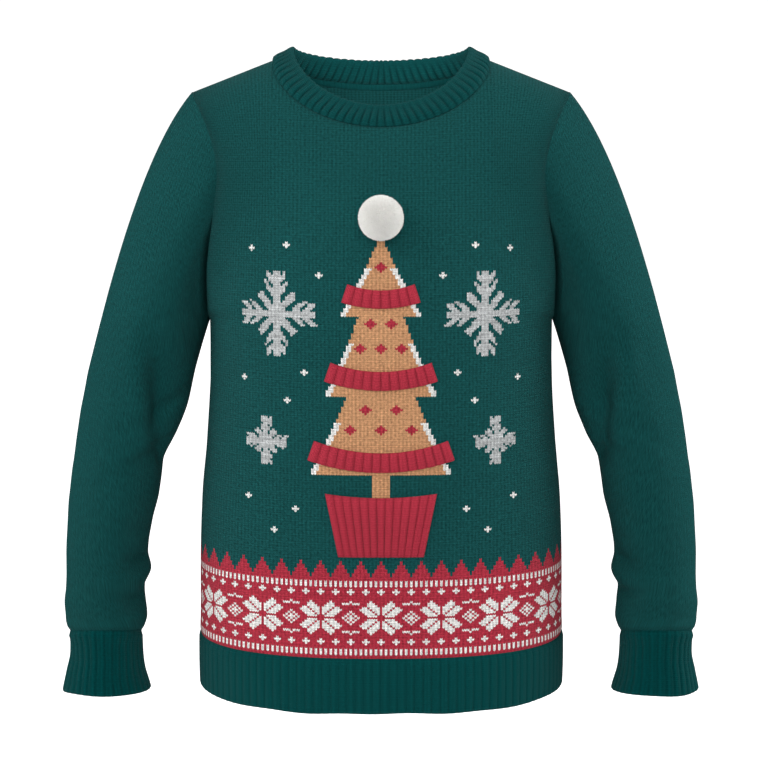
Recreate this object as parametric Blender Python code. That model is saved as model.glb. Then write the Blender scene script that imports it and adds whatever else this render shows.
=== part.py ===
"""Christmas sweater: a crew-neck jumper in panels, in the hollow form it has when it is worn.

Metres, +Z up, front towards -Y, the wearer's left towards +X. The origin is in the plane of the
shoulder seams, on the centre line, level with the top of the shoulders.
"""

import math

import bmesh
import bpy
import numpy as np
from mathutils import Vector

# Cloth and seams
WALL = 0.0020  # body and sleeves
RIB_WALL = 0.0024  # hem and cuffs, under their ribs
SEAM_GAP = 0.00032  # between two pieces that are sewn together
LONGEST_MITRE = 2.0  # wall thicknesses, where two walls meet at a sharp crease

# Heights of the seams
HEM_EDGE = -0.650
HEM_SEAM = -0.593
UNDERARM = -0.262
SHOULDER_POINT = -0.0283

# A cuff's seam and edge: the height at its sides, and how far its front is higher and its back lower
CUFF_SEAM = {"height": -0.592, "tilt": 0.012}
CUFF_EDGE = {"height": -0.6567, "tilt": 0.0055}

# Neck seam: half an oval in front and half behind, which dips towards its middle
NECK = {"half_width": 0.110, "front": 0.085, "back": 0.064, "roundness": 3.1}
NECK_HEIGHT = {"side": 0.004, "front": -0.060, "back": -0.020}
NECK_DIP = 1.2
RIDGE_RISE = {"front": 0.0096, "back": 0.028}  # over the neck, where a panel is cut off below it

# A level section of the body is |x / half width|^n + |y / depth|^n = 1
ROUNDNESS = 2.4
FLAT_FROM = 0.6  # armhole step above which the chest runs flat into the armhole
EDGE_HUG = 9.0  # near the underarm the armhole's depth is felt only close to its edge
HUG_UNTIL = 0.62  # armhole step
TOWARDS = {"front": -1, "back": 1}  # the sign of y
SLOPE_STEP = 0.01  # in columns and steps, to find a panel's slopes

# Hem and cuff ribs
HEM_RIBS = 60  # on each half
HEM_BULGE = 0.0006
CUFF_RIBS = 30
CUFF_BULGE = 0.0010
RIB_HEIGHT = 0.0012
RIB_START = 0.005  # a rib has its full height this far from its seam

# Collar band, folded double, with ribs on both faces
COLLAR_RIBS = 78
COLLAR_THICKNESS = 0.0034
COLLAR_LIFT = 0.0007  # of its foot, over the neck seam
COLLAR_FOOT = 0.0022  # below where it has its full thickness
COLLAR_TIP = 0.2  # width of its top edge, as a share of its thickness
COLLAR = {"half_width": 0.089, "front": 0.069, "back": 0.055, "roundness": 2.5}
COLLAR_HEIGHT = {"side": 0.017, "front": -0.040, "back": 0.004}

# Applied pieces on the front
APPLIED_GAP = 0.00045
APPLIED_WALL = 0.0022
APPLIED_RIB = 0.0085  # pitch

POMPOM_HEIGHT = -0.151
POMPOM_RADIUS = 0.0208
POMPOM_SINK = 0.74  # its centre stands off the front by this share of its radius
POMPOM_BARE = -0.45  # a face turned this far towards the front has no lock
POMPOM_LOCK = 0.0020
POMPOM_SEED = 5

COLOURS = {
    "green": (0.0130, 0.0700, 0.0690),
    "green_rib": (0.0060, 0.0550, 0.0550),
    "red": (0.4530, 0.0360, 0.0610),
    "white": (0.8730, 0.8650, 0.8400),
}


def table(columns, rows):
    """The named columns of a short table, as arrays."""
    return dict(zip(columns.split(), np.array(rows, float).T))


# Level sections of the body, from the hem's edge to the underarm and a little above it
BODY = table(
    "height half_width front back",
    [
        (-0.650, 0.1927, 0.1250, 0.1220),
        (-0.625, 0.1931, 0.1240, 0.1205),
        (-0.593, 0.1928, 0.1210, 0.1170),
        (-0.576, 0.1921, 0.1190, 0.1140),
        (-0.510, 0.1911, 0.1165, 0.1065),
        (-0.445, 0.1883, 0.1160, 0.1030),
        (-0.380, 0.1821, 0.1190, 0.1045),
        (-0.316, 0.1781, 0.1230, 0.1085),
        (-0.262, 0.1774, 0.1250, 0.1115),
        (-0.240, 0.1774, 0.1250, 0.1115),
    ],
)

# The armhole, in equal steps from the underarm (0) to the shoulder point (1)
ARMHOLE = table(
    "step half_width front back",
    [
        (0.0, 0.1774, 0.0000, 0.0000),
        (0.1, 0.1774, 0.0240, 0.0240),
        (0.2, 0.1773, 0.0420, 0.0440),
        (0.3, 0.1768, 0.0570, 0.0600),
        (0.4, 0.1740, 0.0680, 0.0740),
        (0.5, 0.1670, 0.0750, 0.0830),
        (0.6, 0.1630, 0.0780, 0.0850),
        (0.7, 0.1685, 0.0720, 0.0770),
        (0.8, 0.1790, 0.0570, 0.0580),
        (0.9, 0.1890, 0.0320, 0.0310),
        (1.0, 0.1936, 0.0000, 0.0000),
    ],
)

SHOULDER_HALF = ARMHOLE["half_width"][-1]
NECK_SHARE = NECK["half_width"] / SHOULDER_HALF

# Level sections of a sleeve and its cuff, below the armhole's loft
SLEEVE = table(
    "height centre half_width forward half_depth",
    [
        (-0.316, 0.2504, 0.0556, 0.002, 0.0600),
        (-0.348, 0.2573, 0.0554, 0.003, 0.0585),
        (-0.380, 0.2661, 0.0522, 0.005, 0.0560),
        (-0.412, 0.2762, 0.0469, 0.007, 0.0540),
        (-0.445, 0.2808, 0.0468, 0.009, 0.0520),
        (-0.477, 0.2859, 0.0441, 0.012, 0.0500),
        (-0.510, 0.2890, 0.0428, 0.014, 0.0475),
        (-0.526, 0.2876, 0.0443, 0.015, 0.0480),
        (-0.543, 0.2912, 0.0413, 0.017, 0.0455),
        (-0.559, 0.2917, 0.0426, 0.018, 0.0450),
        (-0.576, 0.2906, 0.0427, 0.019, 0.0452),
        (-0.592, 0.2910, 0.0384, 0.020, 0.0425),
        (-0.600, 0.2911, 0.0364, 0.020, 0.0412),
        (-0.614, 0.2910, 0.0365, 0.020, 0.0408),
        (-0.634, 0.2920, 0.0392, 0.020, 0.0420),
        (-0.654, 0.2914, 0.0438, 0.020, 0.0445),
        (-0.664, 0.2912, 0.0456, 0.020, 0.0456),
    ],
)
LOWEST_LEVEL = -0.559  # below it a sleeve's rows draw to the tilt of the cuff's seam
TILTED_ROWS = 4
SLEEVE_ROUNDNESS = 2.1
LOFT_ROWS = 7
LOFT_PULL = 0.8  # length of the loft's end tangents, in chords
START_SLOPE = {"shoulder": math.radians(49), "underarm": math.radians(70)}
END_SLOPE = math.radians(75)

# Applied bands: a swag whose ends are at this height, and the ribbed pot below them.
# Rows of a band or the pot: how far up it they are, and its thickness there in walls
GARLANDS = {
    "garland_top": {"height": -0.222, "half_length": 0.036, "sag": 0.006, "width": 0.018},
    "garland_middle": {"height": -0.300, "half_length": 0.053, "sag": 0.009, "width": 0.019},
    "garland_bottom": {"height": -0.380, "half_length": 0.070, "sag": 0.012, "width": 0.020},
}
BAND_ROWS = table("up thickness", [(0, 0.6), (0.1, 1), (0.9, 1), (1, 0.6)])
POT = {"top": -0.428, "bottom": -0.489, "half_top": 0.056, "half_bottom": 0.043, "rim_rise": 0.004}
POT_ROWS = table("up thickness", [(0, 0.6), (0.05, 1), (0.5, 1.2), (0.93, 1.9), (1, 1.0)])

# Columns of a panel: even round the neck, then closer towards the side seam
NECK_COLUMNS = 7
SIDE_COLUMNS = 6
TRUNK_ROWS = 7
YOKE_ROWS = 10
NECK_PULL = 2.5  # the higher, the more of a column that ends on the neck seam keeps even rows


# Curves and surfaces


def smooth(at, xs, ys):
    """A cubic through the table's points that turns only where they turn."""
    order = np.argsort(xs)
    xs, ys = xs[order], ys[order]
    step = np.diff(xs)
    rate = np.diff(ys) / step
    inner = np.where(
        rate[1:] * rate[:-1] > 0,
        2 * rate[1:] * rate[:-1] / np.where(rate[1:] + rate[:-1] == 0, 1, rate[1:] + rate[:-1]),
        0,
    )
    slope = np.concatenate([rate[:1], inner, rate[-1:]])
    at = np.clip(np.asarray(at, float), xs[0], xs[-1])
    i = np.clip(np.searchsorted(xs, at, side="right") - 1, 0, len(xs) - 2)
    t = (at - xs[i]) / step[i]
    return (
        ys[i] * (1 + 2 * t) * (1 - t) ** 2
        + ys[i + 1] * t**2 * (3 - 2 * t)
        + step[i] * (slope[i] * t * (1 - t) ** 2 - slope[i + 1] * t**2 * (1 - t))
    )


def ease(t):
    """From 0 to 1 with level ends."""
    t = np.clip(t, 0, 1)
    return t * t * (3 - 2 * t)


def points(x, y, z):
    """Coordinates that broadcast together, as one array of points."""
    return np.stack(np.broadcast_arrays(x, y, z), axis=-1)


def unit(vectors):
    return vectors / np.linalg.norm(vectors, axis=-1, keepdims=True)


def length_share(line):
    """How far along a line each of its points is, from 0 to 1."""
    far = np.append(0, np.cumsum(np.linalg.norm(np.diff(line, axis=0), axis=1)))
    return far / far[-1]


def oval(turn, sizes, face):
    """A squarish quarter oval's x and depth: turn 0 is the middle, a right angle is the side."""
    power = 2 / sizes["roundness"]
    return sizes["half_width"] * np.sin(turn) ** power, sizes[face] * np.cos(turn) ** power


def dipped(x, sizes, heights, face):
    """Height of an oval's point that dips from its side to its middle."""
    turn = np.sqrt(np.clip(1 - (x / sizes["half_width"]) ** 2, 0, 1))
    return heights["side"] + (heights[face] - heights["side"]) * turn**NECK_DIP


def ridge(face, column):
    """Height of the line that a panel's columns run up to: the shoulder seam, and on over the neck."""
    x = np.abs(column) * SHOULDER_HALF
    fall = (NECK_HEIGHT["side"] - SHOULDER_POINT) / (SHOULDER_HALF - NECK["half_width"])
    power = fall * NECK["half_width"] / RIDGE_RISE[face]
    over = 1 - np.clip(x / NECK["half_width"], 0, 1) ** power
    down = fall * np.clip(x - NECK["half_width"], 0, None)
    return NECK_HEIGHT["side"] + RIDGE_RISE[face] * over - down


def last_step(face, column):
    """The step at which each column ends: 1 on the shoulder seam, less on the neck seam."""
    wanted = dipped(column * SHOULDER_HALF, NECK, NECK_HEIGHT, face)
    rise = (wanted - UNDERARM) / (ridge(face, column) - UNDERARM)
    found = np.arccos(np.clip(1 - 2 * rise, -1, 1)) / math.pi
    return np.where(np.abs(column) < NECK_SHARE, found, 1)


def column_x(column, half_width):
    """Where a column lies: plumb under the neck, and from there spread to the panel's edge."""
    spread = np.clip((np.abs(column) - NECK_SHARE) / (1 - NECK_SHARE), 0, 1)
    return column * SHOULDER_HALF + np.sign(column) * spread * (half_width - SHOULDER_HALF)


def trunk(face, x, height):
    """A panel's points from the hem's edge to the underarm."""
    half_width = smooth(height, BODY["height"], BODY["half_width"])
    depth = smooth(height, BODY["height"], BODY[face])
    across = np.clip(np.abs(x / half_width), 0, 1)
    swell = (1 - across**ROUNDNESS) ** (1 / ROUNDNESS)
    return points(x, TOWARDS[face] * depth * swell, height)


def yoke(face, column, step):
    """A panel's points from the underarm (step 0) to its ridge (step 1)."""
    rise = (1 - np.cos(math.pi * step)) / 2
    half_width = smooth(step, ARMHOLE["step"], ARMHOLE["half_width"])
    edge = smooth(step, ARMHOLE["step"], ARMHOLE[face])
    chest = BODY[face][-1]
    x = column_x(column, half_width)
    across = np.clip(np.abs(x / half_width), 0, 1)
    flat = step / FLAT_FROM
    bend = ROUNDNESS + (1 - ROUNDNESS) * ease((flat + flat**2) / 2)
    swell = (1 - across**ROUNDNESS) ** (1 / bend)
    hug = across ** (EDGE_HUG * (1 - ease(step / HUG_UNTIL)))
    out = edge * (1 - swell) * hug + chest * swell * np.sqrt(1 - rise**2)
    height = UNDERARM + (ridge(face, column) - UNDERARM) * rise
    return points(x, TOWARDS[face] * out, height)


def surface(face, column, step):
    """A panel's points: steps below 0 lead down to the hem's edge, and steps to 1 up the yoke."""
    height = UNDERARM + np.minimum(step, 0) * (UNDERARM - HEM_EDGE)
    low = trunk(
        face, column_x(column, smooth(height, BODY["height"], BODY["half_width"])), height
    )
    return np.where((step > 0)[..., None], yoke(face, column, np.maximum(step, 0)), low)


def surface_normals(face, column, step):
    """Unit normals of a panel, out of the body."""
    right = surface(face, np.minimum(column + SLOPE_STEP, 1), step)
    left = surface(face, np.maximum(column - SLOPE_STEP, -1), step)
    above = surface(face, column, np.minimum(step + SLOPE_STEP, 1))
    below = surface(face, column, step - SLOPE_STEP)
    return unit(np.cross(right - left, above - below)) * -TOWARDS[face]


def panel_columns():
    """Shares of the half width, from the right side seam (-1) to the left one (1)."""
    turn = np.linspace(0, math.pi / 2, 400)
    column = NECK_SHARE * np.sin(turn)
    seam = surface("front", column, last_step("front", column))
    neck = np.interp(np.linspace(0, 1, NECK_COLUMNS + 1), length_share(seam), column)
    side = np.sin(np.linspace(0, math.pi / 2, SIDE_COLUMNS + 1))
    half = np.concatenate([neck, neck[-1] + (1 - neck[-1]) * side[1:]])
    return np.concatenate([-half[:0:-1], half])


def on_front(x, height):
    """The front's column and step at this x, which lies under the neck, and height."""
    column = x / SHOULDER_HALF
    rise = (height - UNDERARM) / (ridge("front", column) - UNDERARM)
    up = np.arccos(1 - 2 * np.clip(rise, 0, 1)) / math.pi
    return column, np.where(height > UNDERARM, up, (height - UNDERARM) / (UNDERARM - HEM_EDGE))


def tube_normals(grid):
    """Unit normals of a closed tube's rings, out of it: the mean of the faces round each point."""
    whole = np.concatenate([grid, grid[:, :1]], axis=1)
    face = np.cross(whole[1:, 1:] - whole[:-1, :-1], whole[1:, :-1] - whole[:-1, 1:])
    found = np.zeros_like(whole)
    for rows in (slice(0, -1), slice(1, None)):
        for columns in (slice(0, -1), slice(1, None)):
            found[rows, columns] += face
    found[:, 0] += found[:, -1]
    found = unit(found[:, :-1])
    return found * np.sign(np.sum(found * (grid - grid.mean(axis=1, keepdims=True))))


# Meshes and objects


def material(name, colour, roughness):
    made = bpy.data.materials.new(name)
    made.use_nodes = True
    made.diffuse_color = (*colour, 1)
    shader = made.node_tree.nodes["Principled BSDF"]
    shader.inputs["Base Color"].default_value = (*colour, 1)
    shader.inputs["Roughness"].default_value = roughness
    shader.inputs["Metallic"].default_value = 0
    return made


def solid(name, vertices, faces, colour):
    """A closed mesh object with its faces turned outwards."""
    mesh = bpy.data.meshes.new(name)
    mesh.from_pydata([tuple(map(float, v)) for v in vertices], [], faces)
    shape = bmesh.new()
    shape.from_mesh(mesh)
    bmesh.ops.recalc_face_normals(shape, faces=shape.faces)
    shape.to_mesh(mesh)
    shape.free()
    made = bpy.data.objects.new(name, mesh)
    mesh.materials.append(material(name, COLOURS[colour], 0.9))
    sweater.objects.link(made)
    mesh.shade_smooth()
    return made


def strip(low, high, wrapped):
    """Quads between two rows of vertex numbers."""
    count = len(low) if wrapped else len(low) - 1
    return [
        (low[i], low[(i + 1) % len(low)], high[(i + 1) % len(high)], high[i]) for i in range(count)
    ]


def rim(fine, coarse, wrapped):
    """Faces between a row of vertex numbers and one with every so manieth of its columns."""
    if wrapped:
        fine = [*fine, fine[0]]
        coarse = [*coarse, coarse[0]]
    skip = (len(fine) - 1) // (len(coarse) - 1)
    return [
        (*fine[i * skip : (i + 1) * skip + 1], coarse[i + 1], coarse[i])
        for i in range(len(coarse) - 1)
    ]


def wall(name, outer, inner, colour, wrapped=False):
    """A closed wall between an outer grid and an inner one, which may be coarser."""
    out = np.arange(outer[..., 0].size).reshape(outer.shape[:2])
    inn = np.arange(inner[..., 0].size).reshape(inner.shape[:2]) + out.size
    faces = []
    for grid in (out.tolist(), inn.tolist()):
        for low, high in zip(grid, grid[1:]):
            faces += strip(low, high, wrapped)
    for end in (0, -1):
        faces += rim(out[end].tolist(), inn[end].tolist(), wrapped)
        if not wrapped:
            faces += rim(out[:, end].tolist(), inn[:, end].tolist(), False)
    return solid(name, np.concatenate([outer.reshape(-1, 3), inner.reshape(-1, 3)]), faces, colour)


# The armhole seam, which a sleeve and the two panels share


def armhole_ring():
    """The left armhole's points: underarm, up the front, shoulder point, down the back."""
    steps = np.linspace(0, 1, YOKE_ROWS + 1)
    front = yoke("front", np.ones_like(steps), steps)
    back = yoke("back", np.ones_like(steps), steps)
    return np.concatenate([front, back[-2:0:-1]])


def section(row, turn, extra=0.0):
    """A level oval of a sleeve: turn 0 is outwards, and it turns towards the front."""
    power = 2 / SLEEVE_ROUNDNESS
    x = np.sign(np.cos(turn)) * np.abs(np.cos(turn)) ** power
    y = np.sign(np.sin(turn)) * np.abs(np.sin(turn)) ** power
    return points(
        row["centre"] + (row["half_width"] + extra) * x,
        -row["forward"] - (row["half_depth"] + extra) * y,
        row["height"],
    )


def section_at(height):
    """The columns of the sleeve's table at a height, or at one for each point."""
    found = {name: smooth(height, SLEEVE["height"], SLEEVE[name]) for name in SLEEVE}
    return {**found, "height": height}


def tilted(line, turn):
    """The heights of a cuff's seam or edge, by the turn round the sleeve."""
    return line["height"] + line["tilt"] * np.sin(turn)


def sleeve_turns(ring):
    """Each armhole point's turn round the sleeve, from its share of the way round."""
    half = len(ring) // 2
    legs = np.linalg.norm(np.roll(ring, -1, axis=0) - ring, axis=1)
    front = np.cumsum(legs[:half][::-1])[::-1] / legs[:half].sum()
    back = np.cumsum(legs[half:]) / legs[half:].sum()
    turns = np.zeros(len(ring))
    turns[:half] = math.pi * front
    turns[half + 1 :] = -math.pi * back[:-1]
    return turns


def sleeve_grid():
    """The left sleeve's outer points: a loft from the armhole, then level sections."""
    ring = armhole_ring()
    turns = sleeve_turns(ring)
    target = section(section_at(SLEEVE["height"].max()), turns)
    chord = np.linalg.norm(target - ring, axis=1)[:, None]
    share = (1 - np.cos(turns)) / 2
    start = START_SLOPE["shoulder"] * (1 - share) + START_SLOPE["underarm"] * share
    leave = points(np.cos(start), 0, -np.sin(start)) * chord * LOFT_PULL
    arrive = np.array([math.cos(END_SLOPE), 0, -math.sin(END_SLOPE)]) * chord * LOFT_PULL
    rows = []
    for t in np.linspace(0, 1, LOFT_ROWS + 1)[:-1]:
        rows.append(
            ring * (1 + 2 * t) * (1 - t) ** 2
            + target * t**2 * (3 - 2 * t)
            + leave * t * (1 - t) ** 2
            - arrive * t**2 * (1 - t)
        )
    for height in np.sort(SLEEVE["height"][SLEEVE["height"] >= LOWEST_LEVEL])[::-1]:
        rows.append(section(section_at(height), turns))
    seam = tilted(CUFF_SEAM, turns)
    for share in np.linspace(0, 1, TILTED_ROWS + 1)[1:]:
        rows.append(section(section_at(LOWEST_LEVEL * (1 - share) + seam * share), turns))
    return np.array(rows)


def armhole_seam(sleeve, sleeve_normals, panels):
    """The seam's shared inner points, and the unit way across it into the sleeve."""
    ring = sleeve[0]
    ahead = panels["front"]["normals"][TRUNK_ROWS:, -1]
    behind = panels["back"]["normals"][TRUNK_ROWS:, -1]
    shared = np.concatenate([ahead, behind[-2:0:-1]]) + sleeve_normals[0]
    shared[[0, YOKE_ROWS], 1] = 0
    shared = unit(shared)
    along = np.roll(ring, -1, axis=0) - np.roll(ring, 1, axis=0)
    across = np.cross(along, shared)
    across[[0, YOKE_ROWS], 1] = 0
    across = unit(across)
    across *= np.sign(np.sum(across * (sleeve[2] - ring)))
    meet = np.abs(np.sum(shared * sleeve_normals[0], axis=1))
    mitre = np.minimum(1 / meet, LONGEST_MITRE)[:, None]
    return {"outer": ring, "inner": ring - shared * WALL * mitre, "across": across}


# Pieces


def panel(face):
    """A panel's outer points and normals. Side and shoulder seams turn straight out."""
    column = panel_columns()[None]
    lowest = (HEM_SEAM + SEAM_GAP / 2 - UNDERARM) / (UNDERARM - HEM_EDGE)
    low = np.linspace(lowest, 0, TRUNK_ROWS + 1)[:-1, None] * np.ones_like(column)
    high = np.linspace(0, 1, YOKE_ROWS + 1)[:, None]
    high = high - (1 - last_step(face, column)) * high**NECK_PULL
    step = np.concatenate([low, high])
    found = surface_normals(face, column, step)
    found[: TRUNK_ROWS + 1, [0, -1], 1:] = 0
    found[-1, np.abs(column[0]) >= NECK_SHARE, 1] = 0
    return {"outer": surface(face, column, step), "normals": unit(found)}


def panel_object(face, made, seam):
    """A panel's wall, with half of each seam's gap taken off its edges."""
    outer = made["outer"].copy()
    inner = outer - made["normals"] * WALL
    inner[0, :, 2] = outer[0, :, 2]
    half = {name: values[: YOKE_ROWS + 1] for name, values in seam.items()}
    if face == "back":
        half = {name: np.roll(values, -1, axis=0)[: YOKE_ROWS - 2 : -1] for name, values in seam.items()}
    for column, mirror in ((-1, 1), (0, -1)):
        turn = np.array([mirror, 1, 1])
        gap = half["across"] * SEAM_GAP / 2
        outer[TRUNK_ROWS:, column] = (half["outer"] - gap) * turn
        inner[TRUNK_ROWS:, column] = (half["inner"] - gap) * turn
    apart = SEAM_GAP / 2
    for grid in (outer, inner):
        depth = grid[..., 1]
        depth[np.abs(depth) < apart] = TOWARDS[face] * apart
    return wall(face, outer, inner, "green")


def sleeve_object(name, sleeve, sleeve_normals, seam, mirror):
    outer = sleeve.copy()
    inner = outer - sleeve_normals * WALL
    outer[0] = seam["outer"] + seam["across"] * SEAM_GAP / 2
    inner[0] = seam["inner"] + seam["across"] * SEAM_GAP / 2
    outer[-1, :, 2] += SEAM_GAP / 2
    inner[-1, :, 2] = outer[-1, :, 2]
    turn = np.array([mirror, 1, 1])
    return wall(name, outer * turn, inner * turn, "green", wrapped=True)


def ribs(count):
    """Rib heights along a band, which starts with a crest: a crest and a hollow each."""
    return RIB_HEIGHT * (1 - np.arange(count * 2) % 2)


def cuff_object(name, mirror):
    """A flared tube with a ribbed outside and a plain inside."""
    count = CUFF_RIBS * 2
    turns = np.linspace(0, 2 * math.pi, count, endpoint=False)
    crest = ribs(CUFF_RIBS)
    top = tilted(CUFF_SEAM, turns) - SEAM_GAP / 2
    edge = tilted(CUFF_EDGE, turns)
    middle = (top + edge) / 2
    rows = []
    for height, share in ((top, 0), (top - RIB_START, 1), (middle, 1), (edge, 1)):
        rows.append(section(section_at(height), turns, share * (CUFF_BULGE + crest)))
    inner = []
    for height in (top, middle, edge):
        inner.append(section(section_at(height[::2]), turns[::2], -RIB_WALL))
    turn = np.array([mirror, 1, 1])
    return wall(name, np.array(rows) * turn, np.array(inner) * turn, "green_rib", wrapped=True)


def hem_object(name, face):
    """Half of the hem: a ribbed wall over a plain inside, between the side seams."""
    across = even_columns(face, HEM_SEAM, HEM_RIBS * 2)
    crest = np.append(ribs(HEM_RIBS), RIB_HEIGHT)
    top = HEM_SEAM - SEAM_GAP / 2
    rows = []
    for height, share in ((top, 0), (top - RIB_START, 1), (HEM_EDGE, 1)):
        rows.append(hem_line(face, across, height, share * (HEM_BULGE + crest)))
    inner = []
    for height in (top, HEM_EDGE):
        inner.append(hem_line(face, across[::4], height, -RIB_WALL))
    outer, inner = np.array(rows), np.array(inner)
    for grid in (outer, inner):
        grid[:, [0, -1], 1] = TOWARDS[face] * SEAM_GAP / 2
    return wall(name, outer, inner, "green_rib")


def even_columns(face, height, count):
    """Shares of the half width at even steps along a body section."""
    turn = np.linspace(-math.pi / 2, math.pi / 2, 20 * count + 1)
    half_width = smooth(height, BODY["height"], BODY["half_width"])
    line = trunk(face, half_width * np.sin(turn), height)
    return np.sin(np.interp(np.linspace(0, 1, count + 1), length_share(line), turn))


def hem_line(face, across, height, out):
    """A body section's points, moved out level by this much."""
    half_width = smooth(height, BODY["height"], BODY["half_width"])
    depth = smooth(height, BODY["height"], BODY[face])
    line = trunk(face, across * half_width, height)
    x = np.sign(across) * np.abs(across) ** (ROUNDNESS - 1) / half_width
    y = TOWARDS[face] * (np.abs(line[:, 1]) / depth) ** (ROUNDNESS - 1) / depth
    return line + unit(points(x, y, 0)) * np.reshape(out, (-1, 1))


def neck_ring(panels):
    """The neck seam's points and the panels' normals there, all the way round."""
    neck = np.abs(panel_columns()) <= NECK_SHARE
    front, back = (panels[face]["outer"][-1, neck] for face in ("front", "back"))
    ahead, behind = (panels[face]["normals"][-1, neck] for face in ("front", "back"))
    return np.concatenate([front, back[-2:0:-1]]), np.concatenate([ahead, behind[-2:0:-1]])


def along_ring(ring, values, count):
    """Values at even steps along a closed ring of points, in straight lines between them."""
    share = length_share(np.concatenate([ring, ring[:1]]))
    wanted = np.concatenate([values, values[:1]])
    at = np.linspace(0, 1, count, endpoint=False)
    return np.stack([np.interp(at, share, wanted[:, i]) for i in range(3)], axis=-1)


def collar_top(base):
    """The point of the collar's top edge over each point of the neck seam."""
    top = np.zeros_like(base)
    for face, side in TOWARDS.items():
        here = base[:, 1] * side >= 0
        share = NECK["roundness"] / 2
        turn = np.arctan2(
            np.abs(base[here, 0] / NECK["half_width"]) ** share,
            np.abs(base[here, 1] / NECK[face]) ** share,
        )
        x, depth = oval(turn, COLLAR, face)
        height = dipped(x, COLLAR, COLLAR_HEIGHT, face)
        top[here] = points(np.sign(base[here, 0]) * x, side * depth, height)
    return top


def collar_object(panels):
    """A band that stands on the neck seam: a closed section carried round the neck."""
    ring, out = neck_ring(panels)
    base = along_ring(ring, ring, COLLAR_RIBS * 2)
    outward = unit(along_ring(ring, out, COLLAR_RIBS * 2))
    middle = base - outward * WALL / 2
    up = collar_top(base) - middle
    length = np.linalg.norm(up, axis=1, keepdims=True)
    up = up / length
    side = unit(np.cross(np.roll(base, -1, axis=0) - np.roll(base, 1, axis=0), up))
    side *= np.sign(np.sum(side * outward))
    half = COLLAR_THICKNESS / 2
    full = half + ribs(COLLAR_RIBS)[:, None]
    section_rows = (
        (COLLAR_LIFT, WALL / 2),
        (COLLAR_LIFT + COLLAR_FOOT, full),
        (length - half, full),
        (length, half * COLLAR_TIP),
        (length - half, -full),
        (COLLAR_LIFT + COLLAR_FOOT, -full),
        (COLLAR_LIFT, -WALL / 2),
    )
    grid = np.array([middle + up * height + side * aside for height, aside in section_rows])
    number = np.arange(grid[..., 0].size).reshape(grid.shape[:2]).tolist()
    faces = []
    for low, high in zip(number, [*number[1:], number[0]]):
        faces += strip(low, high, True)
    return solid("collar", grid.reshape(-1, 3), faces, "green_rib")


def applied_object(name, x, height, thickness):
    """A piece on the front, from a grid of x and height: ribs outside, the front's form behind."""
    column, step = on_front(x, height)
    spot = surface("front", column, step)
    away = surface_normals("front", column, step)
    crest = np.zeros_like(x)
    crest[1:-1] = RIB_HEIGHT * (np.arange(x.shape[1]) % 2)
    lift = APPLIED_GAP + APPLIED_WALL * thickness[:, None] + crest
    outer = spot + away * lift[..., None]
    inner = (spot + away * APPLIED_GAP)[[0, -1], ::2]
    return wall(name, outer, inner, "red")


def garland_object(name, sizes):
    """A swag: its middle hangs lower than its ends, and its ribs stand across it."""
    count = 2 * round(2 * sizes["half_length"] / APPLIED_RIB)
    share = np.linspace(-1, 1, count + 1)[None]
    middle = sizes["height"] - sizes["sag"] * (1 - share**2)
    up = (BAND_ROWS["up"][:, None] - 0.5) * sizes["width"]
    lean = 2 * sizes["sag"] / sizes["half_length"] * share
    x = sizes["half_length"] * share - up * lean
    return applied_object(name, x, middle + up, BAND_ROWS["thickness"])


def pot_object():
    """A pot whose ribs draw in towards its foot, with a rim that stands a little high."""
    count = 2 * round(2 * POT["half_top"] / APPLIED_RIB)
    share = np.linspace(-1, 1, count + 1)[None]
    up = POT_ROWS["up"][:, None]
    x = (POT["half_bottom"] + (POT["half_top"] - POT["half_bottom"]) * up) * share
    height = POT["bottom"] + (POT["top"] - POT["bottom"] + POT["rim_rise"] * share**2) * up
    return applied_object("pot", x, height, POT_ROWS["thickness"])


def pompom_object():
    """A ball flattened where it is sewn on, whose other faces are each drawn out to a lock."""
    place = on_front(np.zeros(1), np.full(1, POMPOM_HEIGHT))
    away = Vector(surface_normals("front", *place)[0])
    stand_off = POMPOM_RADIUS * POMPOM_SINK
    centre = Vector(surface("front", *place)[0]) + away * (stand_off + APPLIED_GAP)
    shape = bmesh.new()
    bmesh.ops.create_icosphere(shape, subdivisions=3, radius=POMPOM_RADIUS)
    for vertex in shape.verts:
        too_deep = max(0, -stand_off - vertex.co.dot(away))
        vertex.co += centre + away * too_deep
    rng = np.random.default_rng(POMPOM_SEED)
    for face in list(shape.faces):
        out = (face.calc_center_median() - centre).normalized()
        if out.dot(away) > POMPOM_BARE:
            tip = bmesh.ops.poke(shape, faces=[face])["verts"][0]
            tip.co += out * POMPOM_LOCK * rng.uniform(0.75, 1)
    mesh = bpy.data.meshes.new("pompom")
    shape.to_mesh(mesh)
    shape.free()
    mesh.materials.append(material("pompom", COLOURS["white"], 0.9))
    sweater.objects.link(bpy.data.objects.new("pompom", mesh))


for old in list(bpy.data.objects):
    bpy.data.objects.remove(old)
sweater = bpy.data.collections.new("christmas_sweater")
bpy.context.scene.collection.children.link(sweater)

left_sleeve = sleeve_grid()
left_normals = tube_normals(left_sleeve)
both = {face: panel(face) for face in TOWARDS}
armhole = armhole_seam(left_sleeve, left_normals, both)
for face in both:
    panel_object(face, both[face], armhole)
    hem_object("hem_" + face, face)
for name, mirror in (("left", 1), ("right", -1)):
    sleeve_object("sleeve_" + name, left_sleeve, left_normals, armhole, mirror)
    cuff_object("cuff_" + name, mirror)
collar_object(both)
for name, sizes in GARLANDS.items():
    garland_object(name, sizes)
pot_object()
pompom_object()
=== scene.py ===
import math

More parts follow.
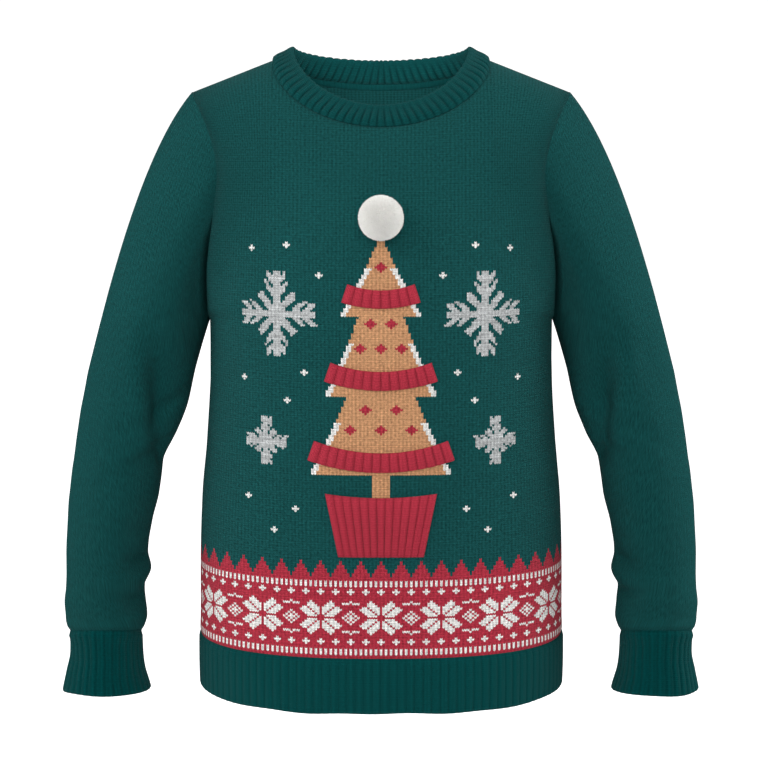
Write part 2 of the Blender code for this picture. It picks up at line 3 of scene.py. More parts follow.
import bmesh
import bpy
import numpy as np
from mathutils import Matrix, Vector


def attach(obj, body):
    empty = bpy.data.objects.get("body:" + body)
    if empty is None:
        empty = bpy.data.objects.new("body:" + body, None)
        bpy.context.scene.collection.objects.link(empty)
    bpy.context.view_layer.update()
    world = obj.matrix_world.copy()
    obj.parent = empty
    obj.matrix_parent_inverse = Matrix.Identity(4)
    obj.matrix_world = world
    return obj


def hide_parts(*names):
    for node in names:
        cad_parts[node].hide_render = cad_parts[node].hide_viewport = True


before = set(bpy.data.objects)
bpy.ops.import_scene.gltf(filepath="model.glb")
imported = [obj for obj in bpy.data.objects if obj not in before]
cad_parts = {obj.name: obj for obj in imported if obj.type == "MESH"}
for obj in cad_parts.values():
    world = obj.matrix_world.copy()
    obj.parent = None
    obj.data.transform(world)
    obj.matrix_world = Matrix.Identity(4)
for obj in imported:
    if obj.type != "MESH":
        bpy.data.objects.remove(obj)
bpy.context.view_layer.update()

# Sizes of the garment's form in metres: the wearer's left is +X, the front is -Y
form = {
    "wall": 0.0020,
    "hemEdge": -0.650,
    "hemSeam": -0.593,
    "hemGap": 0.00015,  # from the hem seam to the edges that meet there
    "underarm": -0.2590,
    "shoulderPoint": -0.0283,
    "lowestLevel": -0.559,  # below it a sleeve's rows draw to the tilt of the cuff's seam
    "roundness": 2.4,
    "flatFrom": 0.6,  # the chest's sections are flattest from this step up
    "flatStart": 0.3,  # and keep close to the trunk's roundness well below this one
    "edgeHug": 9.0,  # near the underarm the armhole's depth is felt only close to its edge
    "hugUntil": 0.62,
    "cornerHug": 40.0,  # closer still in the corner itself
    "cornerUntil": 0.16,
    "neckDip": 1.2,
    "seamRoll": 0.0013,  # how far a sewn edge turns in
    "seamReach": 0.0045,  # how near the seam it starts to
    "seamGap": 0.00003,  # from the front's edges, and the back's, to the plane between them
}
# the lower half of an armhole sinks into a soft fold, and over the shoulder its seam hardly shows
armholeFold = {"depth": 0.021, "reach": 0.0195, "rise": 0.11, "to": 0.36, "fade": 0.13, "shoulderRoll": 0.05}
# a cuff's seam and edge: the height at its sides, and how far its front is higher and its back lower
cuffSeam = {"height": -0.592, "tilt": 0.012, "gap": 0.00016}
cuffEdge = {"height": -0.6567, "tilt": 0.0055}
neckOval = {"halfWidth": 0.110, "front": 0.085, "back": 0.064, "roundness": 3.1}
neckHeight = {"side": 0.004, "front": -0.060, "back": -0.020}
ridgeRise = {"front": 0.0096, "back": 0.028}
towards = {"front": -1, "back": 1}
neckRoll = {"front": 1.3, "back": 0.4}  # the neck seam's roll, in shares of the other seams'


def table(columns, rows):
    return dict(zip(columns.split(), np.array(rows, float).T))


bodyRows = table("height halfWidth front back", [
    (-0.650, 0.1927, 0.1250, 0.1220),
    (-0.625, 0.1931, 0.1240, 0.1205),
    (-0.593, 0.1928, 0.1210, 0.1170),
    (-0.576, 0.1921, 0.1190, 0.1140),
    (-0.510, 0.1911, 0.1165, 0.1065),
    (-0.445, 0.1883, 0.1160, 0.1030),
    (-0.380, 0.1821, 0.1190, 0.1045),
    (-0.316, 0.1781, 0.1230, 0.1085),
    (-0.262, 0.1774, 0.1250, 0.1115),
    (-0.240, 0.1774, 0.1250, 0.1115),
])
armholeRows = table("step halfWidth front back", [
    (0.0, 0.1774, 0.0000, 0.0000),
    (0.1, 0.1774, 0.0240, 0.0240),
    (0.2, 0.1773, 0.0420, 0.0440),
    (0.3, 0.1768, 0.0570, 0.0600),
    (0.4, 0.1740, 0.0680, 0.0740),
    (0.5, 0.1670, 0.0750, 0.0830),
    (0.6, 0.1630, 0.0780, 0.0850),
    (0.7, 0.1685, 0.0720, 0.0770),
    (0.8, 0.1790, 0.0570, 0.0580),
    (0.9, 0.1890, 0.0320, 0.0310),
    (1.0, 0.1936, 0.0000, 0.0000),
])
shoulderHalf = armholeRows["halfWidth"][-1]
neckShare = neckOval["halfWidth"] / shoulderHalf
trunkLength = form["underarm"] - form["hemEdge"]


# Curves and surfaces


def cubicBetween(t, start, end, leave, arrive):
    # the cubic from start to end whose slopes there are leave and arrive
    ends = start * (1 + 2 * t) * (1 - t) ** 2 + end * t**2 * (3 - 2 * t)
    return ends + leave * t * (1 - t) ** 2 - arrive * t**2 * (1 - t)


def smoothCurve(at, xs, ys):
    # cubic pieces through the table's points; the slope at each is the harmonic mean of the two beside it,
    # or 0 where one rises and the other falls
    if xs[0] > xs[-1]:
        xs, ys = xs[::-1], ys[::-1]
    gap = np.diff(xs)
    rate = np.diff(ys) / gap
    both = rate[1:] + rate[:-1]
    inner = np.where(rate[1:] * rate[:-1] > 0, 2 * rate[1:] * rate[:-1] / np.where(both == 0, 1, both), 0)
    slope = np.concatenate([rate[:1], inner, rate[-1:]])
    at = np.clip(np.asarray(at, float), xs[0], xs[-1])
    i = np.clip(np.searchsorted(xs, at, side="right") - 1, 0, len(xs) - 2)
    t = (at - xs[i]) / gap[i]
    return cubicBetween(t, ys[i], ys[i + 1], gap[i] * slope[i], gap[i] * slope[i + 1])


def readRows(rows, label, at):
    # a smooth curve through one column of a table, read at places along its first column
    return smoothCurve(at, next(iter(rows.values())), rows[label])


def easeInOut(t):
    # 3t^2 - 2t^3, held at 0 and 1 outside
    t = np.clip(t, 0, 1)
    return t * t * (3 - 2 * t)


def toPoints(x, y, z):
    return np.stack(np.broadcast_arrays(x, y, z), axis=-1)


def toUnit(vectors):
    return vectors / np.linalg.norm(vectors, axis=-1, keepdims=True)


def lengthAlong(grid, axis=0):
    # running length of a grid's lines along one axis, from 0
    legs = np.linalg.norm(np.diff(grid, axis=axis), axis=-1)
    start = np.zeros_like(np.take(legs, [0], axis=axis))
    return np.concatenate([start, np.cumsum(legs, axis=axis)], axis=axis)


def gridNormals(grid):
    # on a grid that closes round: the cross product of its slope along the columns with that along the rows
    up = np.gradient(grid, axis=0)
    across = np.roll(grid, -1, axis=1) - np.roll(grid, 1, axis=1)
    return toUnit(np.cross(across, up))


def ovalPoint(turn, sizes, face):
    # superellipse quarter: x = half width * sin^(2/n), depth = d * cos^(2/n)
    power = 2 / sizes["roundness"]
    return sizes["halfWidth"] * np.sin(turn) ** power, sizes[face] * np.cos(turn) ** power


def dippedHeight(x, sizes, heights, face):
    # the side's height, plus the dip times (1 - (x / half width)^2)^(dip power / 2)
    turn = np.sqrt(np.clip(1 - (x / sizes["halfWidth"]) ** 2, 0, 1))
    return heights["side"] + (heights[face] - heights["side"]) * turn ** form["neckDip"]


def ridgeHeight(face, column):
    # a straight fall along the shoulder seam, and over the neck a low arch that meets it in slope
    x = np.abs(column) * shoulderHalf
    fall = (neckHeight["side"] - form["shoulderPoint"]) / (shoulderHalf - neckOval["halfWidth"])
    power = fall * neckOval["halfWidth"] / ridgeRise[face]
    over = 1 - np.clip(x / neckOval["halfWidth"], 0, 1) ** power
    return neckHeight["side"] + ridgeRise[face] * over - fall * np.clip(x - neckOval["halfWidth"], 0, None)


def stepAt(face, column, height):
    # below the underarm a share of the trunk, above it the half turn whose cosine gives the height
    ridge = ridgeHeight(face, column)
    rise = (height - form["underarm"]) / (ridge - form["underarm"])
    up = np.arccos(np.clip(1 - 2 * rise, -1, 1)) / math.pi
    return np.where(rise > 0, up, (height - form["underarm"]) / trunkLength)


def lastStep(face, column):
    height = dippedHeight(column * shoulderHalf, neckOval, neckHeight, face)
    return np.where(np.abs(column) < neckShare, stepAt(face, column, height), 1)


def columnX(column, halfWidth):
    # plumb under the neck, and beyond it spread evenly to the panel's edge
    spread = np.clip((np.abs(column) - neckShare) / (1 - neckShare), 0, 1)
    return column * shoulderHalf + np.sign(column) * spread * (halfWidth - shoulderHalf)


def bodySection(face, x, height):
    # superellipse: depth * (1 - |x / half width|^n)^(1/n)
    halfWidth, depth = readRows(bodyRows, "halfWidth", height), readRows(bodyRows, face, height)
    n = form["roundness"]
    swell = (1 - np.clip(np.abs(x / halfWidth), 0, 1) ** n) ** (1 / n)
    return toPoints(x, towards[face] * depth * swell, height)


def panelPoint(face, column, step):
    # the trunk's sections below step 0; above it the chest leans back as sqrt(1 - rise^2) to the ridge,
    # and runs at its sides into the armhole's own depth
    low = form["underarm"] + np.minimum(step, 0) * trunkLength
    trunk = bodySection(face, columnX(column, readRows(bodyRows, "halfWidth", low)), low)
    up = np.maximum(step, 0)
    rise = (1 - np.cos(math.pi * up)) / 2
    halfWidth, edge = readRows(armholeRows, "halfWidth", up), readRows(armholeRows, face, up)
    x = columnX(column, halfWidth)
    flat = up / form["flatFrom"]
    flatter = easeInOut(0.5 * flat**2 + 0.5 * flat) * easeInOut(up / form["flatStart"])
    bend = form["roundness"] + (1 - form["roundness"]) * flatter
    across = np.clip(np.abs(x / halfWidth), 0, 1)
    swell = (1 - across ** form["roundness"]) ** (1 / bend)
    hug = form["edgeHug"] * (1 - easeInOut(up / form["hugUntil"]))
    hug = across ** (hug + form["cornerHug"] * (1 - easeInOut(up / form["cornerUntil"])))
    out = edge * (1 - swell) * hug + bodyRows[face][-1] * swell * np.sqrt(1 - rise**2)
    height = form["underarm"] + (ridgeHeight(face, column) - form["underarm"]) * rise
    return np.where((step > 0)[..., None], toPoints(x, towards[face] * out, height), trunk)


def panelNormal(face, column, step, reach=0.01):
    # cross product of the surface's slopes over a short reach each way
    right = panelPoint(face, np.minimum(column + reach, 1), step)
    left = panelPoint(face, np.maximum(column - reach, -1), step)
    above = panelPoint(face, column, np.minimum(step + reach, 1))
    below = panelPoint(face, column, step - reach)
    return toUnit(np.cross(right - left, above - below)) * -towards[face]


def creaseOffset(x, height, creases):
    # each crease is a soft line from end to end: depth * exp(-(distance / width)^2), fading at its ends
    total = np.zeros(np.broadcast(x, height).shape)
    for x0, z0, x1, z1, depth, width in creases:
        longX, longZ = x1 - x0, z1 - z0
        t = ((x - x0) * longX + (height - z0) * longZ) / (longX**2 + longZ**2)
        near = np.clip(t, 0, 1)
        away = np.hypot(x - x0 - near * longX, height - z0 - near * longZ)
        fade = 0.25 + 0.75 * np.sin(math.pi * near)
        total += depth * fade * np.exp(-((away / width) ** 2))
    return total


# Meshes from grids


def newShape():
    return {"points": [], "uvs": [], "faces": [], "uvFaces": [], "tints": [], "pointCount": 0, "uvCount": 0}


def addPoints(shape, grid, uvGrid):
    # stores a grid and its UVs, and returns their numbers in rows
    number = shape["pointCount"] + np.arange(grid[..., 0].size).reshape(grid.shape[:-1])
    uvNumber = shape["uvCount"] + np.arange(uvGrid[..., 0].size).reshape(uvGrid.shape[:-1])
    shape["points"].append(grid.reshape(-1, 3))
    shape["uvs"].append(uvGrid.reshape(-1, 2))
    shape["pointCount"] += number.size
    shape["uvCount"] += uvNumber.size
    if uvNumber.shape[1] > number.shape[1]:  # closed round: the first column comes again
        number = np.concatenate([number, number[:, :1]], axis=1)
    return number, uvNumber


def addFaces(shape, faces, uvFaces, tints=None):
    shape["faces"].append(faces)
    shape["uvFaces"].append(uvFaces)
    shape["tints"].append(tints)


def quadsOf(number):
    # corner, next column, next row and column, next row
    corners = [number[:-1, :-1], number[:-1, 1:], number[1:, 1:], number[1:, :-1]]
    return np.stack(corners, axis=-1).reshape(-1, 4)


def addRim(shape, fine, coarse, fineUv, coarseUv, at, turn):
    # one face for each step of the coarse line, with the fine points beside it; equal steps go in together
    steps = np.diff(at)
    for skip in np.unique(steps):
        start = np.flatnonzero(steps == skip)
        beside = at[start, None] + np.arange(skip + 1)[None]
        addFaces(shape, *(
            np.concatenate([line[beside], inner[start + 1, None], inner[start, None]], axis=1)[:, ::turn]
            for line, inner in ((fine, coarse), (fineUv, coarseUv))
        ))


def addShell(shape, outer, inner, uv, rows, skip, tints=None, sides=True):
    # an outer grid, an inner one of the given rows and every so many columns, and rims between their edges
    out, outUv = addPoints(shape, outer, uv)
    inn, innUv = addPoints(shape, inner[rows][:, ::skip], uv[rows][:, ::skip])
    addFaces(shape, quadsOf(out), quadsOf(outUv), tints)
    addFaces(shape, quadsOf(inn)[:, ::-1], quadsOf(innUv)[:, ::-1])
    columns = np.arange(0, uv.shape[1], skip)
    for row, turn in ((0, -1), (-1, 1)):
        addRim(shape, out[row], inn[row], outUv[row], innUv[row], columns, turn)
    if sides:
        for side, turn in ((0, 1), (-1, -1)):
            addRim(shape, out[:, side], inn[:, side], outUv[:, side], innUv[:, side], rows, turn)


def newObject(name, data):
    item = bpy.data.objects.new(name, data)
    bpy.context.scene.collection.objects.link(item)
    return item


def makeObject(name, shape, material, replaces, groundTint=None, sharpAngle=50):
    # joins the grids into one mesh, turned so that its volume is positive
    points = np.concatenate(shape["points"])
    uvs = np.concatenate(shape["uvs"])
    fan = np.concatenate([
        np.stack([np.repeat(f[:, :1], f.shape[1] - 2, axis=1), f[:, 1:-1], f[:, 2:]], axis=-1).reshape(-1, 3)
        for f in shape["faces"]
    ])
    corners = points[fan]
    volume = np.einsum("ij,ij->", corners[:, 0], np.cross(corners[:, 1], corners[:, 2])) / 6
    turn = -1 if volume < 0 else 1
    faces = [f[:, ::turn] for f in shape["faces"]]
    uvFaces = [f[:, ::turn] for f in shape["uvFaces"]]
    loops = np.concatenate([f.ravel() for f in faces]).astype(np.int32)
    sizes = np.concatenate([np.full(len(f), f.shape[1]) for f in faces])
    starts = np.concatenate([[0], np.cumsum(sizes)[:-1]]).astype(np.int32)
    mesh = bpy.data.meshes.new(name)
    mesh.vertices.add(len(points))
    mesh.vertices.foreach_set("co", points.astype(np.float32).ravel())
    mesh.loops.add(len(loops))
    mesh.loops.foreach_set("vertex_index", loops)
    mesh.polygons.add(len(sizes))
    mesh.polygons.foreach_set("loop_start", starts)
    layer = mesh.uv_layers.new(name="knitMap")
    cornerUvs = uvs[np.concatenate([f.ravel() for f in uvFaces])]
    layer.uv.foreach_set("vector", cornerUvs.astype(np.float32).ravel())
    if groundTint is not None:
        tints = []
        for f, tint in zip(faces, shape["tints"]):
            rgb = np.broadcast_to(groundTint, (len(f), 3)) if tint is None else tint
            rgba = np.concatenate([rgb, np.ones((len(f), 1))], axis=1)
            tints.append(np.repeat(rgba, f.shape[1], axis=0))
        yarn = mesh.color_attributes.new("yarnTint", "FLOAT_COLOR", "CORNER")
        yarn.data.foreach_set("color", np.concatenate(tints).astype(np.float32).ravel())
    mesh.update(calc_edges=True)
    mesh.validate()
    mesh.shade_smooth()
    mesh.set_sharp_from_angle(angle=math.radians(sharpAngle))
    mesh.materials.append(material)
    piece = newObject(name, mesh)
    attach(piece, "root")
    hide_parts(replaces)
    print(f"{name}: {sum((f.shape[1] - 2) * len(f) for f in faces)} triangles")
    return piece


# Shader node groups, which every knitted material shares


def connect(tree, source, socket):
    if isinstance(source, bpy.types.NodeSocket):
        tree.links.new(source, socket)
    else:
        socket.default_value = source


def setInputs(node, values):
    for label, value in values.items():
        node.inputs[label].default_value = value


def newGroup(name, inputs, outputs):
    # an input with a value is a number, and one without is a vector; every output is a number
    group = bpy.data.node_groups.new(name, "ShaderNodeTree")
    for label, value in inputs.items():
        kind = "NodeSocketVector" if value is None else "NodeSocketFloat"
        socket = group.interface.new_socket(label, in_out="INPUT", socket_type=kind)
        if value is not None:
            socket.default_value = value
    for label in outputs:
        group.interface.new_socket(label, in_out="OUTPUT", socket_type="NodeSocketFloat")
    return group, group.nodes.new("NodeGroupInput").outputs, group.nodes.new("NodeGroupOutput").inputs


def placeGroup(tree, group, values):
    node = tree.nodes.new("ShaderNodeGroup")
    node.node_tree = group
    for label, value in values.items():
        connect(tree, value, node.inputs[label])
    return node.outputs


def mathNode(tree, operation, first, second=None):
    node = tree.nodes.new("ShaderNodeMath")
    node.operation = operation
    connect(tree, first, node.inputs[0])
    if second is not None:
        connect(tree, second, node.inputs[1])
    return node.outputs[0]


def times(tree, first, second):
    return mathNode(tree, "MULTIPLY", first, second)


def plus(tree, first, second):
    return mathNode(tree, "ADD", first, second)


def minus(tree, first, second):
    return mathNode(tree, "SUBTRACT", first, second)


def noiseNode(tree, vector, scale, detail=2.0):
    node = tree.nodes.new("ShaderNodeTexNoise")
    for label, value in (("Vector", vector), ("Scale", scale), ("Detail", detail)):
        connect(tree, value, node.inputs[label])
    return node.outputs["Fac"]


def bumpNode(tree, height, distance):
    node = tree.nodes.new("ShaderNodeBump")
    setInputs(node, {"Strength": 1, "Distance": distance})
    connect(tree, height, node.inputs["Height"])
    return node.outputs["Normal"]


def mapParts(tree, vector):
    parts = tree.nodes.new("ShaderNodeSeparateXYZ")
    connect(tree, vector, parts.inputs[0])
    return parts.outputs["X"], parts.outputs["Y"]


def makeStitchGroup():
    # each stitch is two legs that lean together as a V, whose height is (sin(2 pi w) * sin(pi p))^roundness:
    # w is the distance from the wale's middle, and p the part past the whole number in course + 1/2 - w
    group, inlet, outlet = newGroup("knitStitch", {"Map": None, "Roundness": 0.6}, ["Height", "Furrow"])
    x, y = mapParts(group, inlet["Map"])
    across = mathNode(group, "ABSOLUTE", minus(group, mathNode(group, "FRACT", x), 0.5))
    course = mathNode(group, "FRACT", plus(group, y, minus(group, 0.5, across)))
    along = mathNode(group, "SINE", times(group, course, math.pi))
    leg = mathNode(group, "ABSOLUTE", mathNode(group, "SINE", times(group, across, 2 * math.pi)))
    height = mathNode(group, "POWER", times(group, along, leg), inlet["Roundness"])
    connect(group, height, outlet["Height"])
    # the second output, 1 - height, is painted shade between the stitches
    connect(group, minus(group, 1.0, height), outlet["Furrow"])
    return group


def makeToneAndShadeGroup():
    # the yarn's tone and painted shade: 1 + lines * sin(2 pi x / pitch + wander) along the wales, and the
    # same in y along the courses, both stronger in some places, are painted light and shade in place of the
    # stitches' relief;
    # streaks of noise drawn out over the courses, a speckle about a stitch wide and broad blotches are the
    # yarn's tone
    levels = {"Wale Lines": 0.15, "Course Lines": 0.1, "Streaks": 0.1, "Speckle": 0.8, "Blotches": 0.1}
    group, inlet, outlet = newGroup("yarnToneAndPaintedShade", {"Map": None, "Position": None, **levels}, ["Shade"])
    x, y = mapParts(group, inlet["Map"])

    def drawnNoise(acrossScale, alongScale):
        drawn = group.nodes.new("ShaderNodeCombineXYZ")
        connect(group, times(group, x, acrossScale), drawn.inputs["X"])
        connect(group, times(group, y, alongScale), drawn.inputs["Y"])
        return noiseNode(group, drawn.outputs[0], 1.0)

    def lines(place, pitch, wander, strength):
        phase = plus(group, times(group, place, 2 * math.pi / pitch), times(group, wander, 4.5))
        return times(group, mathNode(group, "SINE", phase), strength)

    waleLines = lines(x, 1.53, drawnNoise(0.22, 0.035), inlet["Wale Lines"])
    courseLines = lines(y, 1.4, drawnNoise(0.03, 0.18), inlet["Course Lines"])
    some = plus(group, times(group, drawnNoise(0.31, 0.23), 0.9), 0.5)
    shade = plus(group, times(group, plus(group, waleLines, courseLines), some), 1.0)
    patches = {
        "Streaks": drawnNoise(0.14, 1.0),
        "Speckle": drawnNoise(1.1, 0.9),
        "Blotches": noiseNode(group, inlet["Position"], 14.0, 3.0),
    }
    for label, noise in patches.items():
        shade = plus(group, shade, times(group, minus(group, noise, 0.5), inlet[label]))
    connect(group, shade, outlet["Shade"])
    return group


def makeFuzzGroup():
    # loose fibre ends: fine noise, and a finer one a third as high
    group, inlet, outlet = newGroup("yarnFuzz", {"Position": None, "Scale": 900.0}, ["Height"])
    coarse = noiseNode(group, inlet["Position"], inlet["Scale"])
    fine = noiseNode(group, inlet["Position"], times(group, inlet["Scale"], 2.7))
    connect(group, plus(group, coarse, times(group, fine, 0.33)), outlet["Height"])
    return group


def makeRibShadeGroup():
    # painted shade in the furrow between two ribs: 1 - depth * exp(-(distance / width)^2), the distance taken
    # in ribs; near the fold at y = 0 the depth grows as (y / bare courses)^1.5
    inputs = {"Map": None, "Wales": 3.0, "Width": 0.11, "Depth": 0.4, "Bare Courses": 0.01}
    group, inlet, outlet = newGroup("ribFurrow", inputs, ["Shade"])
    x, y = mapParts(group, inlet["Map"])
    away = mathNode(group, "PINGPONG", mathNode(group, "DIVIDE", x, inlet["Wales"]), 0.5)
    away = mathNode(group, "POWER", mathNode(group, "DIVIDE", away, inlet["Width"]), 2.0)
    near = mathNode(group, "EXPONENT", times(group, away, -1.0))
    fromFold = mathNode(group, "DIVIDE", mathNode(group, "ABSOLUTE", y), inlet["Bare Courses"])
    share = mathNode(group, "POWER", mathNode(group, "MINIMUM", fromFold, 1.0), 1.5)
    dark = times(group, times(group, near, share), inlet["Depth"])
    connect(group, minus(group, 1.0, dark), outlet["Shade"])
    return group


ribShadeGroup = makeRibShadeGroup()
stitchGroup = makeStitchGroup()
toneAndShadeGroup = makeToneAndShadeGroup()
fuzzGroup = makeFuzzGroup()
print("shader groups: knitStitch, yarnToneAndPaintedShade, yarnFuzz, ribFurrow")

# Yarn colours, linear. The greens after the first are the body's yarn made darker and less red: painted shade
# on the sleeves, the hem, the cuffs and the collar
yarn = {
    "green": (0.0090, 0.0790, 0.0780),
    "sleeveShadedGreen": (0.0074, 0.0725, 0.0715),
    "ribShadedGreen": (0.0022, 0.0590, 0.0590),
    "cuffShadedGreen": (0.0006, 0.0520, 0.0520),
    "collarShadedGreen": (0.0042, 0.0645, 0.0645),
    "red": (0.4530, 0.0360, 0.0610),
    "tan": (0.6290, 0.3290, 0.1650),
    "grey": (0.5050, 0.5200, 0.5230),
    "white": (0.8730, 0.8650, 0.8400),
}

# What every knitted material starts from: the materials below name only what differs
knitLook = {
    "stitchDepth": 0.0006,
    "furrowShade": 0.35,  # painted shade between two stitches
    # waleLines and courseLines: painted light and shade in lines along the wales and courses, for the
    # stitches' relief
    "waleLines": 0.15,
    "courseLines": 0.10,
    "streaks": 0.1,
    "speckle": 0.8,
    "blotches": 0.12,
    "fuzz": 0.25,
    "ribFurrow": 0.0,  # painted shade between two ribs
    "furrowWidth": 0.2,
    "bareCourses": 0.01,
    "sheen": 0.06,
    "sheenTint": (0.45, 0.80, 0.78),
}


def newMaterial(name):
    material = bpy.data.materials.new(name)
    material.use_nodes = True
    return material, material.node_tree, material.node_tree.nodes["Principled BSDF"]


def knitMaterial(name, colour=None, **changes):
    # colour = yarn * tone and painted shade * (1 - painted shade between stitches) * painted shade in the rib
    # furrows; with no colour given, the mesh holds the yarn
    look = {**knitLook, **changes}
    material, tree, shader = newMaterial(name)
    mapNode = tree.nodes.new("ShaderNodeUVMap")
    mapNode.uv_map = "knitMap"
    knitMap = mapNode.outputs["UV"]
    position = tree.nodes.new("ShaderNodeTexCoord").outputs["Object"]
    stitch = placeGroup(tree, stitchGroup, {"Map": knitMap})
    shades = placeGroup(tree, toneAndShadeGroup, {
        "Map": knitMap,
        "Position": position,
        "Wale Lines": look["waleLines"],
        "Course Lines": look["courseLines"],
        "Streaks": look["streaks"],
        "Speckle": look["speckle"],
        "Blotches": look["blotches"],
    })
    stitchShadeFactor = minus(tree, 1.0, times(tree, stitch["Furrow"], look["furrowShade"]))
    factor = times(tree, shades["Shade"], stitchShadeFactor)
    if look["ribFurrow"]:
        furrow = placeGroup(tree, ribShadeGroup, {
            "Map": knitMap,
            "Width": look["furrowWidth"],
            "Depth": look["ribFurrow"],
            "Bare Courses": look["bareCourses"],
        })
        factor = times(tree, factor, furrow["Shade"])
    tint = tree.nodes.new("ShaderNodeMix")
    tint.data_type = "RGBA"
    tint.blend_type = "MULTIPLY"
    tint.inputs["Factor"].default_value = 1
    if colour is None:
        attribute = tree.nodes.new("ShaderNodeAttribute")
        attribute.attribute_name = "yarnTint"
        connect(tree, attribute.outputs["Color"], tint.inputs["A"])
    else:
        tint.inputs["A"].default_value = (*colour, 1)
    grey = tree.nodes.new("ShaderNodeCombineColor")
    for channel in ("Red", "Green", "Blue"):
        connect(tree, factor, grey.inputs[channel])
    connect(tree, grey.outputs[0], tint.inputs["B"])
    connect(tree, tint.outputs["Result"], shader.inputs["Base Color"])
    fibres = placeGroup(tree, fuzzGroup, {"Position": position})
    relief = plus(tree, stitch["Height"], times(tree, fibres["Height"], look["fuzz"]))
    connect(tree, bumpNode(tree, relief, look["stitchDepth"]), shader.inputs["Normal"])
    setInputs(shader, {
        "Roughness": 0.95,
        "Metallic": 0,
        "Specular IOR Level": 0.02,
        "Sheen Weight": look["sheen"],
        "Sheen Roughness": 0.3,
        "Sheen Tint": (*look["sheenTint"], 1),
    })
    return material


materials = {
    "design": knitMaterial("knitDesign", waleLines=0.13, courseLines=0.08, speckle=1.3, sheen=0.05),
    "knit": knitMaterial("knitGreen", yarn["green"], sheen=0.05),
    "sleeve": knitMaterial(
        "knitSleeve", yarn["sleeveShadedGreen"], waleLines=0.07, courseLines=0.05, speckle=1.5, sheen=0.025
    ),
    "rib": knitMaterial(
        "ribShadedGreen", yarn["ribShadedGreen"], furrowShade=0.2, waleLines=0.05, courseLines=0.04, speckle=0.3,
        ribFurrow=0.14
    ),
    "cuffRib": knitMaterial(
        "ribCuff", yarn["cuffShadedGreen"], furrowShade=0.2, waleLines=0.12, courseLines=0.04, speckle=0.5,
        ribFurrow=0.18
    ),
    "collarRib": knitMaterial(
        "ribCollar", yarn["collarShadedGreen"], furrowShade=0.2, waleLines=0.05, courseLines=0.06, speckle=0.5,
        ribFurrow=0.42, furrowWidth=0.17, bareCourses=5.5
    ),
    "appliedRib": knitMaterial(
        "ribRed", yarn["red"], furrowShade=0.2, waleLines=0.04, courseLines=0.06, speckle=0.3, ribFurrow=0.3,
        furrowWidth=0.12, sheenTint=(1, 0.6, 0.6)
    ),
}


# The design, charted by the course (row) and the wale (column) it is knitted in. It is the same on both sides
# of the centre line, and its places across are distances from that line

chart = {
    "wales": 195,  # across the front, so that one lies on the centre line
    "wale": 0.00262,
    "course": 0.00205,
    "courses": 216,  # level ones, from the hem seam up
    "evenAt": -0.40,  # the height at which the wales are evenly spaced
    "yokeRows": 24,  # rows above the level courses
    "underNeck": 0.25,  # below the neck their steps start smaller by up to this share
    "stitchNoise": 0.05,
    "greyNoise": 0.10,
    "seed": 11,
}
border = {  # in courses from the hem seam up
    "solid": 41,  # red up to here, and teeth above
    "teeth": 8,
    "ladders": ((2, 5), (36, 39)),
    "diamonds": (8, 33),
    "starMiddle": 20,
    "starPitch": 24,
}
firTree = {
    "flare": 1.15,  # above 1 a tier flares towards its foot
    "snowWidth": 0.0056,
    "snowFrom": 0.4,  # the share of each tier above its snow
    "trunkTop": -0.400,
    "trunkFoot": -0.432,
    "trunkHalf": 0.010,
    "baubleReach": 2.5,  # in stitches
}
treeTiers = [  # top, bottom, half width at the top and at the bottom
    (-0.165, -0.245, 0.001, 0.042),
    (-0.235, -0.325, 0.020, 0.058),
    (-0.315, -0.405, 0.032, 0.074),
]
baubles = [  # distance, height
    (0.000, -0.196), (0.0105, -0.252), (0.000, -0.276), (0.021, -0.276),
    (0.0157, -0.337), (0.000, -0.358), (0.0315, -0.358),
]
snowflakes = [  # distance, height, radius of the whole flake, arm's half width
    (0.108, -0.243, 0.042, 0.0036),
    (0.121, -0.372, 0.024, 0.0028),
]
snowDots = [
    (0.062, -0.205), (0.078, -0.300), (0.150, -0.310), (0.098, -0.330), (0.142, -0.430), (0.088, -0.440),
    (0.140, -0.180), (0.098, -0.175), (0.112, -0.462),
]


def starCells(across, up):
    # eight-petal star: with far and near the larger and the smaller distance, 1 <= near < far <= 8,
    # far - near <= 4 and far + near <= 12
    far, near = np.maximum(across, up), np.minimum(across, up)
    return (near >= 1) & (near < far) & (far - near <= 4) & (far + near <= 12) & (far <= 8)


def snowflakeCells(x, height, centreX, centreHeight, radius, half):
    # eight arms, folded into one: the arm itself, two pairs of branches at 45 degrees and a small core
    away = np.hypot(x - centreX, height - centreHeight)
    turned = np.arctan2(height - centreHeight, x - centreX) + math.pi / 8
    angle = np.abs(turned % (math.pi / 4) - math.pi / 8)
    along, aside = away * np.cos(angle), away * np.sin(angle)
    longArm = np.floor(turned / (math.pi / 4)) % 2 == 0
    cells = (along < np.where(longArm, radius, 0.66 * radius)) & (aside < half)
    for start, reach in ((0.40, 0.30), (0.68, 0.26)):
        branch = np.abs(along - aside - start * radius) < half * 1.05
        cells |= longArm & branch & (aside < reach * radius)
    return cells | (away < 0.20 * radius)


def borderCells(course, fromMiddle):
    # the border across the hips: which cells are red, and which of those are white
    teeth, pitch = border["teeth"], border["starPitch"]
    tooth = np.abs((fromMiddle + teeth / 2) % teeth - teeth / 2)  # 0 at a tooth's tip
    red = course - border["solid"] < teeth - 2 * tooth
    white = np.zeros(course.shape, bool)
    for low, high in border["ladders"]:
        white |= (course >= low) & (course < high) & (fromMiddle % 2 == 0)
    for middle in border["diamonds"]:
        white |= np.abs(course - middle) + np.abs((fromMiddle + 3) % 6 - 3) <= 1
    # between two stars, a ring round a dot and a short bar above and below it
    star = np.abs((fromMiddle + pitch / 2) % pitch - pitch / 2)
    up = np.abs(course - border["starMiddle"])
    between = pitch / 2 - star
    white |= starCells(star, up) | (between + up == 3) | (between + up <= 1)
    white |= (up == 7) & (between <= 3) & (between >= 1)
    white |= (up == 8) & (between == 0)
    return red, white & red


